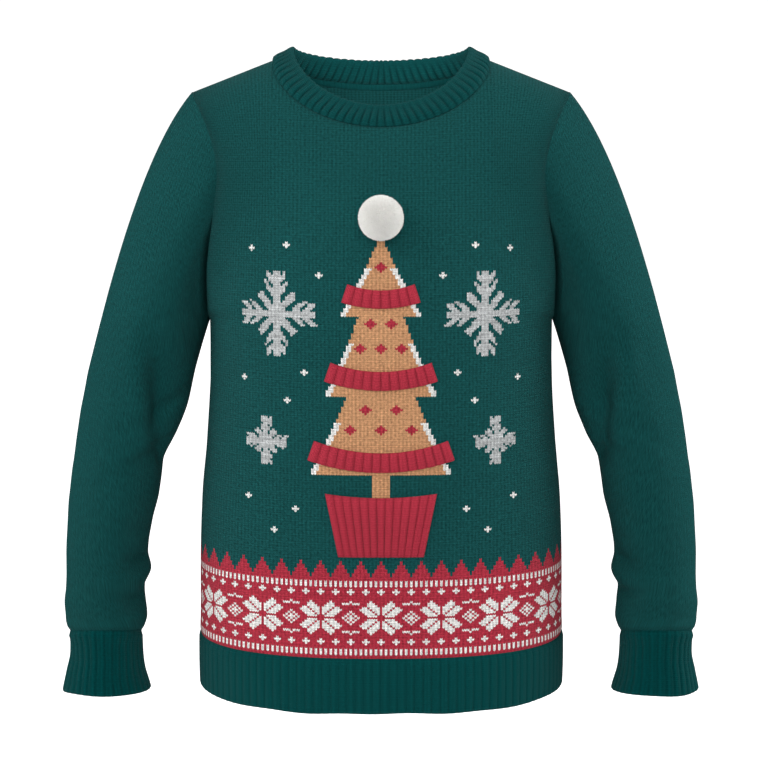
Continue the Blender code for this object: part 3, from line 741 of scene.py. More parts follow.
def paintFront(x, height):
    # tints of the level courses, one for each stitch, from the lowest course up
    aside = np.abs(x)
    tints = np.broadcast_to(yarn["green"], (*x.shape, 3)).copy()
    grey = np.zeros(x.shape, bool)
    for flake in snowflakes:
        grey |= snowflakeCells(aside, height, *flake)
    tints[grey] = yarn["grey"]
    tan = (aside < firTree["trunkHalf"]) & (height > firTree["trunkFoot"]) & (height < firTree["trunkTop"])
    snow = np.zeros(x.shape, bool)
    for top, bottom, halfTop, halfBottom in treeTiers:
        down = np.clip((top - height) / (top - bottom), 0, 1)
        slope = halfTop + (halfBottom - halfTop) * down ** firTree["flare"] - aside
        tier = (height < top) & (height > bottom) & (slope > 0)
        snow = (snow & ~tier) | (tier & (slope < firTree["snowWidth"]) & (down > firTree["snowFrom"]))
        tan |= tier
    tints[tan] = yarn["tan"]
    for atX, atHeight in baubles:
        away = np.abs(aside - atX) / chart["wale"] + np.abs(height - atHeight) / chart["course"]
        tints[tan & (away < firTree["baubleReach"])] = yarn["red"]
    tints[snow] = yarn["white"]
    for atX, atHeight in snowDots:
        across = np.abs(np.round((aside - atX) / chart["wale"]))
        up = np.abs(np.round((height - atHeight) / chart["course"]))
        tints[(across + up <= 1) & ~tan & ~grey] = yarn["white"]
    course, wale = np.indices(x.shape)
    red, white = borderCells(course, np.abs(wale - (chart["wales"] - 1) // 2))
    tints[red] = yarn["red"]
    tints[white] = yarn["white"]
    # every stitch a little lighter or darker, and grey yarn heathered in short streaks along its course
    rng = np.random.default_rng(chart["seed"])
    each = 1 + chart["stitchNoise"] * rng.standard_normal(x.shape)
    streak = rng.standard_normal(x.shape)
    streak = sum(np.roll(streak, shift, axis=1) for shift in range(4)) / 2
    each = np.where(grey, 1 + chart["greyNoise"] * streak, each)
    return tints * np.clip(each, 0.6, 1.25)[..., None]


# Front and back


panelCreases = {  # x, height at each end, depth (below 0 a trough), width
    "front": [
        (0.172, -0.150, 0.150, -0.215, -0.0016, 0.011),
        (-0.170, -0.158, -0.152, -0.226, -0.0018, 0.012),
        (0.166, -0.255, 0.128, -0.200, 0.0012, 0.012),
        (-0.168, -0.262, -0.124, -0.212, 0.0012, 0.013),
        (0.170, -0.300, 0.130, -0.292, -0.0013, 0.010),
        (-0.172, -0.322, -0.136, -0.306, -0.0012, 0.011),
        (0.178, -0.420, 0.140, -0.452, -0.0010, 0.015),
        (-0.176, -0.400, -0.146, -0.436, -0.0010, 0.014),
        (0.168, -0.560, 0.158, -0.480, 0.0011, 0.016),
        (-0.166, -0.570, -0.160, -0.500, 0.0010, 0.015),
    ],
    "back": [
        (0.168, -0.170, 0.120, -0.220, -0.0016, 0.013),
        (-0.166, -0.165, -0.124, -0.228, -0.0015, 0.012),
        (0.166, -0.262, 0.080, -0.292, 0.0014, 0.015),
        (-0.168, -0.255, -0.090, -0.280, 0.0015, 0.014),
        (0.150, -0.330, 0.040, -0.352, -0.0014, 0.016),
        (-0.160, -0.345, -0.060, -0.372, -0.0013, 0.015),
        (0.120, -0.500, 0.060, -0.420, 0.0012, 0.020),
        (-0.110, -0.520, -0.070, -0.430, 0.0012, 0.018),
        (0.020, -0.060, -0.030, -0.100, -0.0008, 0.014),
    ],
}
backGrid = {"columns": 130, "lowRows": 60, "highRows": 50, "skip": 5}


def clothPoint(face, column, step):
    # the panel's surface moved along its normal by the creases
    spot = panelPoint(face, column, step)
    offset = creaseOffset(spot[..., 0], spot[..., 2], panelCreases[face])
    return spot + panelNormal(face, column, step) * offset[..., None]


def roundArmhole(front, back):
    # what belongs to each of the armhole's points: underarm, up the front, shoulder point, down the back
    return np.concatenate([front, back[-2:0:-1]])


def armholeRoll(away, steps):
    # how far an edge turns in along its normal beside the sleeve: the seam's own roll, less over the shoulder
    over = easeInOut((steps - armholeFold["to"]) / armholeFold["fade"])
    seam = form["seamRoll"] * (1 - over * (1 - armholeFold["shoulderRoll"]))
    return seam * (1 - easeInOut(away / form["seamReach"]))


def foldSink(away, steps):
    # the fold's depth towards the middle of the garment: it grows with the height above the underarm, a share
    # of (1 - cos(pi * step)) / 2, and is gone before the shoulder
    share = easeInOut((1 - np.cos(math.pi * np.clip(steps, 0, 1))) / 2 / armholeFold["rise"])
    share = share * (1 - easeInOut((steps - armholeFold["to"]) / armholeFold["fade"]))
    return armholeFold["depth"] * share * (1 - easeInOut(away / armholeFold["reach"]))


def panelGrid(face, columns, steps):
    # outer points and normals, turned in at the sewn edges by the seam roll
    outer = clothPoint(face, columns, steps)
    normals = panelNormal(face, columns, steps)
    side = (steps <= 0) & (np.abs(columns) == 1)
    normals[side] *= (1, 0, 0)
    normals = toUnit(normals)
    fromLeft, fromFoot = lengthAlong(outer, axis=1), lengthAlong(outer, axis=0)
    fromRight = fromLeft[:, -1:] - fromLeft
    roll = np.maximum(armholeRoll(fromLeft, steps), armholeRoll(fromRight, steps))
    atNeck = np.where(np.abs(columns) < neckShare, neckRoll[face], 1)
    for away, depth in ((fromFoot, 1), (fromFoot[-1:] - fromFoot, atNeck)):
        roll = np.maximum(roll, form["seamRoll"] * depth * (1 - easeInOut(away / form["seamReach"])))
    outer = outer - normals * roll[..., None]
    outer[..., 1] -= towards[face] * (foldSink(fromLeft, steps) + foldSink(fromRight, steps))
    return outer, normals


def evenColumns(face, height, count):
    # columns at even steps along a level section
    turn = np.linspace(-math.pi / 2, math.pi / 2, 20 * count + 1)
    halfWidth = readRows(bodyRows, "halfWidth", height)
    line = bodySection(face, halfWidth * np.sin(turn), height)
    far = lengthAlong(line)
    x = halfWidth * np.sin(np.interp(np.linspace(0, far[-1], count + 1), far, turn))
    spread = (np.abs(x) - neckOval["halfWidth"]) / (halfWidth - neckOval["halfWidth"])
    beyond = neckShare + np.clip(spread, 0, 1) * (1 - neckShare)
    return np.where(np.abs(x) < neckOval["halfWidth"], x / shoulderHalf, np.sign(x) * beyond)


def addPanel(shape, face, outer, normals, uv, rows, skip, tints=None):
    # the panel with its wall, its lower edge level and its side edges on its own side of the seams
    inner = outer - normals * form["wall"]
    inner[0, :, 2] = outer[0, :, 2]
    for grid in (outer, inner):
        grid[..., 1] = towards[face] * np.maximum(towards[face] * grid[..., 1], form["seamGap"])
    addShell(shape, outer, inner, uv, rows, skip, tints)


def makeFront():
    # the lower courses are level, and each stitch is a V, whose middle column lies half a stitch lower; the
    # yoke's rows above them close in on the neck and shoulder seams
    count, courses = 2 * chart["wales"], chart["courses"]
    column = evenColumns("front", chart["evenAt"], count)[None]
    line = np.arange(courses + 1)[:, None]
    shift = 0.5 * (np.arange(count + 1) % 2) * ((line > 0) & (line < courses))
    height = form["hemSeam"] + form["hemGap"] + chart["course"] * line
    level = stepAt("front", column, height - chart["course"] * shift)
    base, left = level[-1:], lastStep("front", column) - level[-1:]
    share = np.linspace(0, 1, chart["yokeRows"] + 1)[1:, None]
    share = share - chart["underNeck"] * share * (1 - share) * (1 - left / (1 - base))
    steps = np.concatenate([level, base + left * share])
    outer, normals = panelGrid("front", np.broadcast_to(column, steps.shape), steps)
    yokeLength = lengthAlong(outer[courses:])[1:]
    course = np.concatenate([line - shift, courses + yokeLength / chart["course"]])
    uv = np.stack([np.broadcast_to(np.arange(count + 1) / 2, course.shape), course], axis=-1)
    # tints: the chart on the level courses, plain green above
    middleX = (np.arange(chart["wales"]) - (chart["wales"] - 1) / 2) * chart["wale"]
    middleHeight = form["hemSeam"] + chart["course"] * (np.arange(courses) + 0.5)
    stitches = paintFront(*np.meshgrid(middleX, middleHeight))
    plain = np.broadcast_to(yarn["green"], (chart["yokeRows"], chart["wales"], 3))
    tints = np.repeat(np.concatenate([stitches, plain]), 2, axis=1).reshape(-1, 3)
    rows = np.concatenate([np.arange(0, courses, 12), np.arange(courses, len(outer), 2)])
    shape = newShape()
    addPanel(shape, "front", outer, normals, uv, rows, 10, tints)
    return makeObject("front_knit", shape, materials["design"], "front", yarn["green"], sharpAngle=70)


def makeBack():
    # plain courses all the way up, whose last rows close in on the neck and shoulder seams
    columns = evenColumns("back", chart["evenAt"], backGrid["columns"])[None]
    hemStep = (form["hemSeam"] + form["hemGap"] - form["underarm"]) / trunkLength
    low = np.linspace(hemStep, 0, backGrid["lowRows"] + 1)[:-1, None] * np.ones_like(columns)
    high = np.linspace(0, 1, backGrid["highRows"] + 1)[:, None]
    steps = np.concatenate([low, high - (1 - lastStep("back", columns)) * high**2.5])
    outer, normals = panelGrid("back", np.broadcast_to(columns, steps.shape), steps)
    wale = np.linspace(0, chart["wales"], columns.shape[1])
    uv = np.stack([np.broadcast_to(wale, steps.shape), lengthAlong(outer) / chart["course"]], axis=-1)
    shape = newShape()
    addPanel(shape, "back", outer, normals, uv, np.arange(0, len(outer), backGrid["skip"]), backGrid["skip"])
    return makeObject("back_knit", shape, materials["knit"], "back")


frontPiece = makeFront()
backPiece = makeBack()


# Sleeves


sleeveRows = table("height centre halfWidth forward halfDepth", [
    (-0.316, 0.2504, 0.0556, 0.002, 0.0600),
    (-0.348, 0.2573, 0.0554, 0.003, 0.0585),
    (-0.380, 0.2661, 0.0522, 0.005, 0.0560),
    (-0.412, 0.2762, 0.0469, 0.007, 0.0540),
    (-0.445, 0.2808, 0.0468, 0.009, 0.0520),
    (-0.477, 0.2859, 0.0441, 0.012, 0.0500),
    (-0.510, 0.2890, 0.0428, 0.014, 0.0475),
    (-0.526, 0.2876, 0.0443, 0.015, 0.0480),
    (-0.543, 0.2912, 0.0413, 0.017, 0.0455),
    (-0.559, 0.2917, 0.0426, 0.018, 0.0450),
    (-0.576, 0.2906, 0.0427, 0.019, 0.0452),
    (-0.592, 0.2910, 0.0384, 0.020, 0.0425),
    (-0.600, 0.2911, 0.0364, 0.020, 0.0412),
    (-0.614, 0.2910, 0.0365, 0.020, 0.0408),
    (-0.634, 0.2920, 0.0392, 0.020, 0.0420),
    (-0.654, 0.2914, 0.0438, 0.020, 0.0445),
    (-0.664, 0.2912, 0.0456, 0.020, 0.0456),
])
sleeve = {
    "around": 128,
    "loftRows": 56,
    "levelRows": 92,
    "tiltedRows": 16,
    "roundness": 2.1,
    "wallSkip": 4,  # the inside has one row and one column for so many outside
    "pull": 0.8,  # length of the loft's end tangents, in chords
    "crowd": 1.3,  # above 1 the loft's rows lie closer towards the armhole
    "shoulderSlope": math.radians(49),
    "underarmSlope": math.radians(70),
    "endSlope": math.radians(75),
    "creaseRadius": 0.05,  # of the tube round which the creases are measured
    "fadeTop": 0.03,  # creases fade out so far from the armhole, and from the cuff
    "fadeFoot": 0.012,
}
# turn (degrees from the outer side, towards the front) and height at each end, depth, width
sleeveCreases = {
    "left": [
        (88, -0.266, 148, -0.396, -0.0095, 0.0115),
        (150, -0.390, 177, -0.410, -0.0060, 0.0080),
        (110, -0.296, 150, -0.382, -0.0100, 0.0190),
        (74, -0.272, 132, -0.402, 0.0035, 0.0120),
        (74, -0.262, 48, -0.346, -0.0018, 0.0130),
        (176, -0.508, 120, -0.516, -0.0045, 0.0065),
        (178, -0.548, 110, -0.540, -0.0042, 0.0060),
        (150, -0.330, 60, -0.392, -0.0022, 0.011),
        (172, -0.372, 96, -0.404, -0.0030, 0.009),
        (176, -0.420, 84, -0.428, 0.0018, 0.010),
        (164, -0.452, 100, -0.470, -0.0018, 0.010),
        (178, -0.500, 70, -0.522, -0.0020, 0.009),
        (176, -0.531, 98, -0.546, 0.0016, 0.007),
        (172, -0.556, 44, -0.570, -0.0020, 0.008),
        (120, -0.586, 30, -0.584, 0.0012, 0.007),
        (-150, -0.352, -70, -0.398, -0.0022, 0.012),
        (-172, -0.410, -90, -0.430, 0.0016, 0.011),
        (-165, -0.480, -60, -0.505, -0.0018, 0.010),
        (-170, -0.545, -80, -0.562, -0.0018, 0.008),
        (140, -0.262, 118, -0.180, -0.0020, 0.012),
        (-140, -0.262, -120, -0.190, -0.0018, 0.012),
    ],
    "right": [
        (88, -0.264, 144, -0.394, -0.0095, 0.0115),
        (148, -0.388, 177, -0.412, -0.0065, 0.0080),
        (112, -0.292, 150, -0.382, -0.0100, 0.0190),
        (78, -0.268, 126, -0.396, 0.0035, 0.0120),
        (170, -0.330, 120, -0.372, -0.0040, 0.0090),
        (178, -0.512, 118, -0.506, -0.0042, 0.0065),
        (180, -0.553, 96, -0.546, -0.0050, 0.0060),
        (172, -0.568, 120, -0.572, 0.0018, 0.0050),
        (148, -0.345, 72, -0.384, -0.0020, 0.012),
        (174, -0.385, 88, -0.416, -0.0030, 0.010),
        (172, -0.434, 92, -0.440, 0.0016, 0.010),
        (168, -0.470, 110, -0.482, -0.0016, 0.009),
        (178, -0.512, 80, -0.528, -0.0022, 0.009),
        (170, -0.540, 104, -0.552, 0.0016, 0.007),
        (176, -0.564, 56, -0.576, -0.0018, 0.008),
        (124, -0.590, 40, -0.586, 0.0010, 0.007),
        (-146, -0.360, -64, -0.402, -0.0020, 0.012),
        (-170, -0.424, -96, -0.440, 0.0016, 0.011),
        (-168, -0.492, -70, -0.514, -0.0018, 0.010),
        (-172, -0.552, -76, -0.570, -0.0016, 0.008),
        (142, -0.268, 116, -0.186, -0.0018, 0.012),
        (-142, -0.262, -122, -0.184, -0.0018, 0.012),
    ],
}


def ovalSection(height, turn, extra=0.0):
    # superellipse round the section's centre: turn 0 is outwards, and it turns towards the front
    height = np.asarray(height, float)
    found = {label: readRows(sleeveRows, label, height) for label in sleeveRows}
    power = 2 / sleeve["roundness"]
    x = np.sign(np.cos(turn)) * np.abs(np.cos(turn)) ** power
    y = np.sign(np.sin(turn)) * np.abs(np.sin(turn)) ** power
    return toPoints(
        found["centre"] + (found["halfWidth"] + extra) * x,
        -found["forward"] - (found["halfDepth"] + extra) * y,
        height,
    )


def tiltedLine(line, turn):
    # the side's height plus the tilt times sin(turn)
    return line["height"] + line["tilt"] * np.sin(turn)


def ringTurns(ring):
    # the turn of each armhole point round the sleeve, by its share of the way round
    half = len(ring) // 2
    legs = np.linalg.norm(np.roll(ring, -1, axis=0) - ring, axis=1)
    turns = np.zeros(len(ring))
    turns[:half] = math.pi * np.cumsum(legs[:half][::-1])[::-1] / legs[:half].sum()
    turns[half + 1:] = -math.pi * np.cumsum(legs[half:])[:-1] / legs[half:].sum()
    return turns


def sleeveRun(ring, turns, seam):
    # a loft from the armhole down to the first level section, as cubics whose ends leave at set slopes, and
    # then the level sections, whose last rows draw to the tilt of the cuff's seam
    target = ovalSection(sleeveRows["height"][0], turns)
    pull = sleeve["pull"] * np.linalg.norm(target - ring, axis=1)[:, None]
    share = (1 - np.cos(turns)) / 2
    start = sleeve["shoulderSlope"] * (1 - share) + sleeve["underarmSlope"] * share
    leave = toPoints(np.cos(start), 0, -np.sin(start)) * pull
    arrive = np.array([math.cos(sleeve["endSlope"]), 0, -math.sin(sleeve["endSlope"])]) * pull
    t = np.linspace(0, 1, sleeve["loftRows"] + 1)[:-1, None, None] ** sleeve["crowd"]
    level = np.linspace(sleeveRows["height"][0], form["lowestLevel"], sleeve["levelRows"] + 1)[:, None]
    share = np.linspace(0, 1, sleeve["tiltedRows"] + 1)[1:, None]
    heights = np.concatenate([level + 0 * seam, form["lowestLevel"] * (1 - share) + seam * share])
    return np.concatenate([cubicBetween(t, ring, target, leave, arrive), ovalSection(heights, turns[None])])


def sleeveFolds(name, turns, height):
    # the creases' offsets; each is felt past the sleeve's inner line too, from the laps before and after
    radius = sleeve["creaseRadius"]
    offset = np.zeros(height.shape)
    for turn0, height0, turn1, height1, depth, width in sleeveCreases[name]:
        crease = (math.radians(turn0) * radius, height0, math.radians(turn1) * radius, height1, depth, width)
        for lap in (-2 * math.pi, 0, 2 * math.pi):
            offset += creaseOffset((turns[None] + lap) * radius, height, [crease])
    return offset


def closeRound(grid):
    # the first column again at the end of a closed grid
    return np.append(grid, grid[:, :1], axis=1)


def makeSleeve(name, mirror):
    half = sleeve["around"] // 2
    steps = np.linspace(0, 1, half + 1)
    edge = np.ones_like(steps)
    ring = roundArmhole(panelPoint("front", edge, steps), panelPoint("back", edge, steps))
    turns = ringTurns(ring)
    seam = tiltedLine(cuffSeam, turns)[None] + cuffSeam["gap"]
    outer = sleeveRun(ring, turns, seam)
    normals = gridNormals(outer)
    normals *= np.sign(np.sum(normals * (outer - outer.mean(axis=1, keepdims=True))))
    down = lengthAlong(outer)
    toEnd = down[-1:] - down
    hold = easeInOut(down / sleeve["fadeTop"]) * easeInOut(toEnd / sleeve["fadeFoot"])
    offset = sleeveFolds(name, turns, outer[..., 2]) * hold
    ringSteps = roundArmhole(steps, steps)[None]
    ringSide = roundArmhole(-edge, edge)[None]
    roll = armholeRoll(down, ringSteps) + form["seamRoll"] * (1 - easeInOut(toEnd / form["seamReach"]))
    # at the armhole the edge turns in along the panels' own normal
    panelSide = roundArmhole(panelNormal("front", edge, steps), panelNormal("back", edge, steps))
    blend = easeInOut(down / form["seamReach"])[..., None]
    shared = toUnit(normals * blend + panelSide[None] * (1 - blend))
    outer = outer + normals * offset[..., None] - shared * roll[..., None]
    outer[..., 1] -= ringSide * foldSink(down, ringSteps)
    outer[-1, :, 2] = seam - 0.0001
    inner = outer - normals * form["wall"]
    inner[-1, :, 2] = outer[-1, :, 2]
    # wales run down the sleeve, counted from its outer line
    girth = np.linalg.norm(np.roll(outer, -1, axis=1) - outer, axis=2).sum(axis=1)[:, None]
    lapShare = -np.append(turns, -math.pi)[None] / (2 * math.pi)
    uv = np.stack([lapShare * girth / chart["wale"], -closeRound(down) / chart["course"]], axis=-1)
    turn = np.array([mirror, 1, 1])
    shape = newShape()
    rows = np.arange(0, len(outer), sleeve["wallSkip"])
    addShell(shape, outer * turn, inner * turn, uv, rows, sleeve["wallSkip"], sides=False)
    return makeObject(f"sleeve_{name}_knit", shape, materials["sleeve"], f"sleeve_{name}")


sleevePieces = [makeSleeve("left", 1), makeSleeve("right", -1)]


# Ribbed edges


rib = {
    "offsets": (0, 0.06, 0.16, 0.33, 0.5, 0.67, 0.84, 0.94),  # columns within one rib
    "wales": 3,
    "sharpness": 0.8,
    "wall": 0.0024,
    "inside": 0.4,  # the share of the bulge and of the ribs that shows inside
    "start": 0.006,  # full height this far from the seam
    "lip": 0.0024,
}
hem = {
    "ribs": 60, "ribHeight": 0.0009, "bulge": 0.0003, "rows": 16, "innerRows": 5, "seed": 3,
    "wave": 0.0006, "ripple": 0.0005,  # how far its edge goes up and down, slowly and quickly
    "sideGap": 0.00015,  # from each half's ends to the plane between them
}
cuff = {
    "ribs": 30, "ribHeight": 0.0010, "bulge": 0.0006, "rows": 18, "innerRows": 6, "seed": 7,
    "oval": 0.0012, "ripple": 0.0007,  # how far its edge goes in and out
    "wave": 0.0007,  # and up and down
}
collar = {
    "ribs": 78,
    "ribHeight": 0.0014,
    "seed": 5,
    "thickness": 0.0038,
    "lift": -0.0012,  # from the neck seam to the band's foot
    "shoulderDip": 0.0009,  # the foot lies so much deeper in the groove of a shoulder seam
    "dipReach": 0.012,
    "rise": (0, 0.05, 0.12, 0.2, 0.3, 0.42, 0.55, 0.68, 0.8, 0.9),  # a side's rows, from the foot to the cap
    "puff": 0.0009,
    "growOver": 0.0045,  # full thickness this far from the foot
    "cap": 0.0054,
    "capRib": 0.0006,
    "upright": 0.94,
    "halfWidth": 0.089,
    "front": 0.069,
    "back": 0.055,
    "roundness": 2.5,
}
tape = {"halfTurn": 66, "width": 0.0075, "thickness": 0.0012, "gap": 0.0002, "rows": 7}
collarHeight = {"side": 0.017, "front": -0.040, "back": 0.004}


def ribColumns(count):
    # the place of each column, in ribs: close together in the furrows
    return (np.arange(count)[:, None] + np.array(rib["offsets"])[None]).ravel()


def ribProfile(place):
    # sin(pi * place)^sharpness: round crests between soft furrows
    return np.abs(np.sin(math.pi * place)) ** rib["sharpness"]


def ribCrest(sizes, place, ribs, seed):
    # the height of each column, each rib a little higher or lower than the next
    rng = np.random.default_rng(seed)
    levels = rng.uniform(0.8, 1.1, ribs)
    phase = rng.uniform(0, 2 * math.pi, ribs)
    uneven = levels * (1 + 0.08 * np.sin(phase))
    return sizes["ribHeight"] * ribProfile(place) * uneven[np.minimum(np.floor(place).astype(int), ribs - 1)]


def ribUv(place, courses):
    return np.stack([np.broadcast_to(place * rib["wales"], courses.shape), courses], axis=-1)


def closedGrid(shape, grid, uv, wrapped):
    # rows that close on themselves; columns that close too, or that end in caps
    number, uvNumber = addPoints(shape, grid, uv)
    number = np.concatenate([number, number[:1]])
    rowGap = np.linalg.norm(grid[0] - grid[-1], axis=-1).mean() / chart["course"]
    lastUv = uv[-1:] + (0, rowGap)
    uvRow = shape["uvCount"] + np.arange(lastUv.shape[1])
    shape["uvs"].append(lastUv.reshape(-1, 2))
    shape["uvCount"] += len(uvRow)
    uvNumber = np.concatenate([uvNumber, uvRow[None]])
    addFaces(shape, quadsOf(number), quadsOf(uvNumber))
    if not wrapped:
        for column, turn in ((0, -1), (-1, 1)):
            addFaces(shape, number[None, :-1, column][:, ::turn], uvNumber[None, :-1, column][:, ::turn])


def hemLine(face, columns, height, out):
    # level sections moved out along their own level normal
    halfWidth, depth = readRows(bodyRows, "halfWidth", height), readRows(bodyRows, face, height)
    line = bodySection(face, columns * halfWidth, height)
    n = form["roundness"] - 1
    x = np.sign(columns) * np.abs(columns) ** n / halfWidth
    y = towards[face] * (np.abs(line[..., 1]) / depth) ** n / depth
    return line + toUnit(toPoints(x, y, 0)) * out[..., None]


def bandRows(top, edge, sizes, crest):
    # heights and outward offsets from the seam down the outside, round the lip and up the inside
    lip, bulge = rib["lip"], sizes["bulge"]
    down = np.linspace(0, 1, sizes["rows"])[:, None] ** 1.15
    height = top + (edge + lip - top) * down
    away = top - height
    roll = form["seamRoll"] * (1 - easeInOut(away / form["seamReach"]))
    outer = easeInOut(away / rib["start"]) * (bulge + crest) - roll
    up = np.linspace(0, 1, sizes["innerRows"])[:, None]
    innerHeight = edge + lip + (top - edge - lip) * up
    grow = easeInOut((top - innerHeight) / rib["start"])
    inner = grow * rib["inside"] * (bulge - crest) - rib["wall"] - form["seamRoll"] * (1 - grow)
    angle = np.linspace(0, math.pi, 7)[1:-1, None]
    lipHeight = edge + lip - lip * np.sin(angle)
    lipOut = (outer[-1:] + inner[:1]) / 2 + (outer[-1:] - inner[:1]) / 2 * np.cos(angle)
    return np.concatenate([height, lipHeight, innerHeight]), np.concatenate([outer, lipOut, inner])


def makeHem(face):
    halfWidth = readRows(bodyRows, "halfWidth", form["hemSeam"])
    x = columnX(evenColumns(face, form["hemSeam"], hem["ribs"] * 40), halfWidth)
    place = np.append(ribColumns(hem["ribs"]), hem["ribs"])
    share = np.interp(place / hem["ribs"], np.linspace(0, 1, len(x)), x / halfWidth)
    crest = ribCrest(hem, place, hem["ribs"], hem["seed"])[None]
    top = form["hemSeam"] - form["hemGap"]
    heights, outs = bandRows(top, form["hemEdge"], hem, crest)
    # the edge waves a little, most at its foot
    foot = easeInOut((top - heights) / (top - form["hemEdge"]))
    wave = hem["wave"] * np.sin(7 * share + 1.2) + hem["ripple"] * np.sin(17 * share + towards[face])
    grid = hemLine(face, share[None], heights, outs)
    grid[..., 2] += foot * wave[None]
    grid[:, [0, -1], 1] = towards[face] * hem["sideGap"]
    shape = newShape()
    closedGrid(shape, grid, ribUv(place, -lengthAlong(grid) / chart["course"]), False)
    return makeObject(f"hem_{face}_knit", shape, materials["rib"], f"hem_{face}", sharpAngle=75)


def makeCuff(name, mirror):
    place = ribColumns(cuff["ribs"])
    turns = 2 * math.pi * place / cuff["ribs"]
    crest = ribCrest(cuff, place, cuff["ribs"], cuff["seed"] + mirror)[None]
    top = tiltedLine(cuffSeam, turns)[None] - cuffSeam["gap"]
    edge = tiltedLine(cuffEdge, turns)[None]
    heights, outs = bandRows(top, edge, cuff, crest)
    foot = easeInOut((top - heights) / (top - edge))
    fold = cuff["oval"] * np.cos(2 * turns + 0.6 * mirror) + cuff["ripple"] * np.cos(5 * turns + mirror)
    grid = ovalSection(np.broadcast_to(heights, outs.shape), turns[None], outs + foot * fold[None])
    grid[..., 2] += foot * cuff["wave"] * np.sin(3 * turns + mirror)[None]
    uv = ribUv(np.append(place, cuff["ribs"]), -closeRound(lengthAlong(grid)) / chart["course"])
    shape = newShape()
    closedGrid(shape, grid * np.array([mirror, 1, 1]), uv, True)
    return makeObject(f"cuff_{name}_knit", shape, materials["cuffRib"], f"cuff_{name}", sharpAngle=75)


def neckRing(shares):
    # points of the neck seam at shares of the way round, with the panels' normals: front from right to left,
    # then back
    rings = []
    for face, way in (("front", 1), ("back", -1)):
        column = neckShare * np.sin(np.linspace(-math.pi / 2, math.pi / 2, 1501)[::way])
        steps = lastStep(face, column)
        spots, normals = panelPoint(face, column, steps), panelNormal(face, column, steps)
        rings.append(np.concatenate([spots, normals], axis=1))
    ring = np.concatenate([rings[0], rings[1][1:]])
    far = lengthAlong(ring[:, :3])
    found = np.stack([np.interp(shares * far[-1], far, values) for values in ring.T], axis=-1)
    return found[:, :3], toUnit(found[:, 3:])


def collarTop(base):
    # the point of the collar's top edge over each point of the neck seam
    top = np.zeros_like(base)
    power = neckOval["roundness"] / 2
    for face, side in towards.items():
        here = base[:, 1] * side >= 0
        x, y = np.abs(base[here, 0]), np.abs(base[here, 1])
        turn = np.arctan2((x / neckOval["halfWidth"]) ** power, (y / neckOval[face]) ** power)
        # the ribs stand nearly upright over the middle, and draw together only at the sides
        turn = np.arcsin(np.clip(np.sin(turn), 0, 1) ** collar["upright"])
        x, depth = ovalPoint(turn, collar, face)
        height = dippedHeight(x, collar, collarHeight, face)
        top[here] = toPoints(np.sign(base[here, 0]) * x, side * depth, height)
    return top


def addTape(shape):
    # a narrow band over the seam inside the back of the neck, which follows the panel's inside down from it
    column = neckShare * np.sin(np.linspace(-1, 1, 81) * math.radians(tape["halfTurn"]))[None]
    steps = lastStep("back", column) - np.linspace(0, 0.12, 60)[:, None]
    far = lengthAlong(panelPoint("back", np.broadcast_to(column, steps.shape), steps))
    want = np.linspace(0, tape["width"], tape["rows"])
    steps = np.stack([np.interp(want, far[:, i], steps[:, i]) for i in range(steps.shape[1])], axis=1)
    columns = np.broadcast_to(column, steps.shape)
    normals = panelNormal("back", columns, steps)
    behind = clothPoint("back", columns, steps) - normals * (form["wall"] + tape["gap"])
    swell = 0.35 + 0.65 * np.sin(math.pi * np.linspace(0.15, 1, tape["rows"])) ** 0.5
    ahead = behind - normals * (tape["thickness"] * swell)[:, None, None]
    grid = np.concatenate([ahead, behind[::-1]])
    away = lengthAlong(grid)
    across = np.broadcast_to(lengthAlong(grid, axis=1)[:1], away.shape)
    uv = np.stack([across / chart["wale"], 0.1 * away / chart["course"]], axis=-1)  # too near 0 for ribs
    closedGrid(shape, grid, uv, False)


def makeCollar():
    # a puffed double band on the neck seam: straight sides joined over the top by a half ellipse, all ribbed
    place = ribColumns(collar["ribs"])
    base, outward = neckRing(place / collar["ribs"])
    middle = base - outward * form["wall"] / 2
    up = collarTop(base) - middle
    length = np.linalg.norm(up, axis=1)
    up = up / length[:, None]
    side = toUnit(np.cross(np.roll(base, -1, axis=0) - np.roll(base, 1, axis=0), up))
    side *= np.sign(np.sum(side * outward))
    crest = ribCrest(collar, place, collar["ribs"], collar["seed"])
    half, foot = collar["thickness"] / 2, form["wall"] * 0.35
    lift = collar["lift"] - collar["shoulderDip"] * np.exp(-((base[:, 1] / collar["dipReach"]) ** 2))
    rise = np.array(collar["rise"])[:, None]
    cap = collar["cap"] + collar["capRib"] * ribProfile(place)
    straight = lift + (length - cap - lift) * rise
    puff = collar["puff"] * np.sin(math.pi * rise**0.9)
    low = 1 - 0.85 * easeInOut((rise - 0.35) / 0.5)  # the ribs run out towards the cap
    aside = foot + easeInOut((straight - lift) / collar["growOver"]) * (half + crest * low + puff - foot)
    angle = np.linspace(0, math.pi, 13)[1:-1, None]
    capOut = (half + crest * 0.15 + puff[-1:]) * np.cos(angle)
    capUp = length - cap + (cap + 0.8 * crest - 0.0008) * np.sin(angle)
    ups = np.concatenate([straight, capUp, straight[::-1]])
    asides = np.concatenate([aside, capOut, -aside[::-1]])
    grid = middle + up * ups[..., None] + side * asides[..., None]
    away = closeRound(lengthAlong(grid))
    courses = (away - away[len(rise) + len(angle) // 2]) / chart["course"]  # 0 along the top fold
    shape = newShape()
    closedGrid(shape, grid, ribUv(np.append(place, collar["ribs"]), courses), True)
    addTape(shape)
    return makeObject("collar_knit", shape, materials["collarRib"], "collar", sharpAngle=75)


hemPieces = [makeHem("front"), makeHem("back")]
cuffPieces = [makeCuff("left", 1), makeCuff("right", -1)]
collarPiece = makeCollar()


# Applied pieces on the front


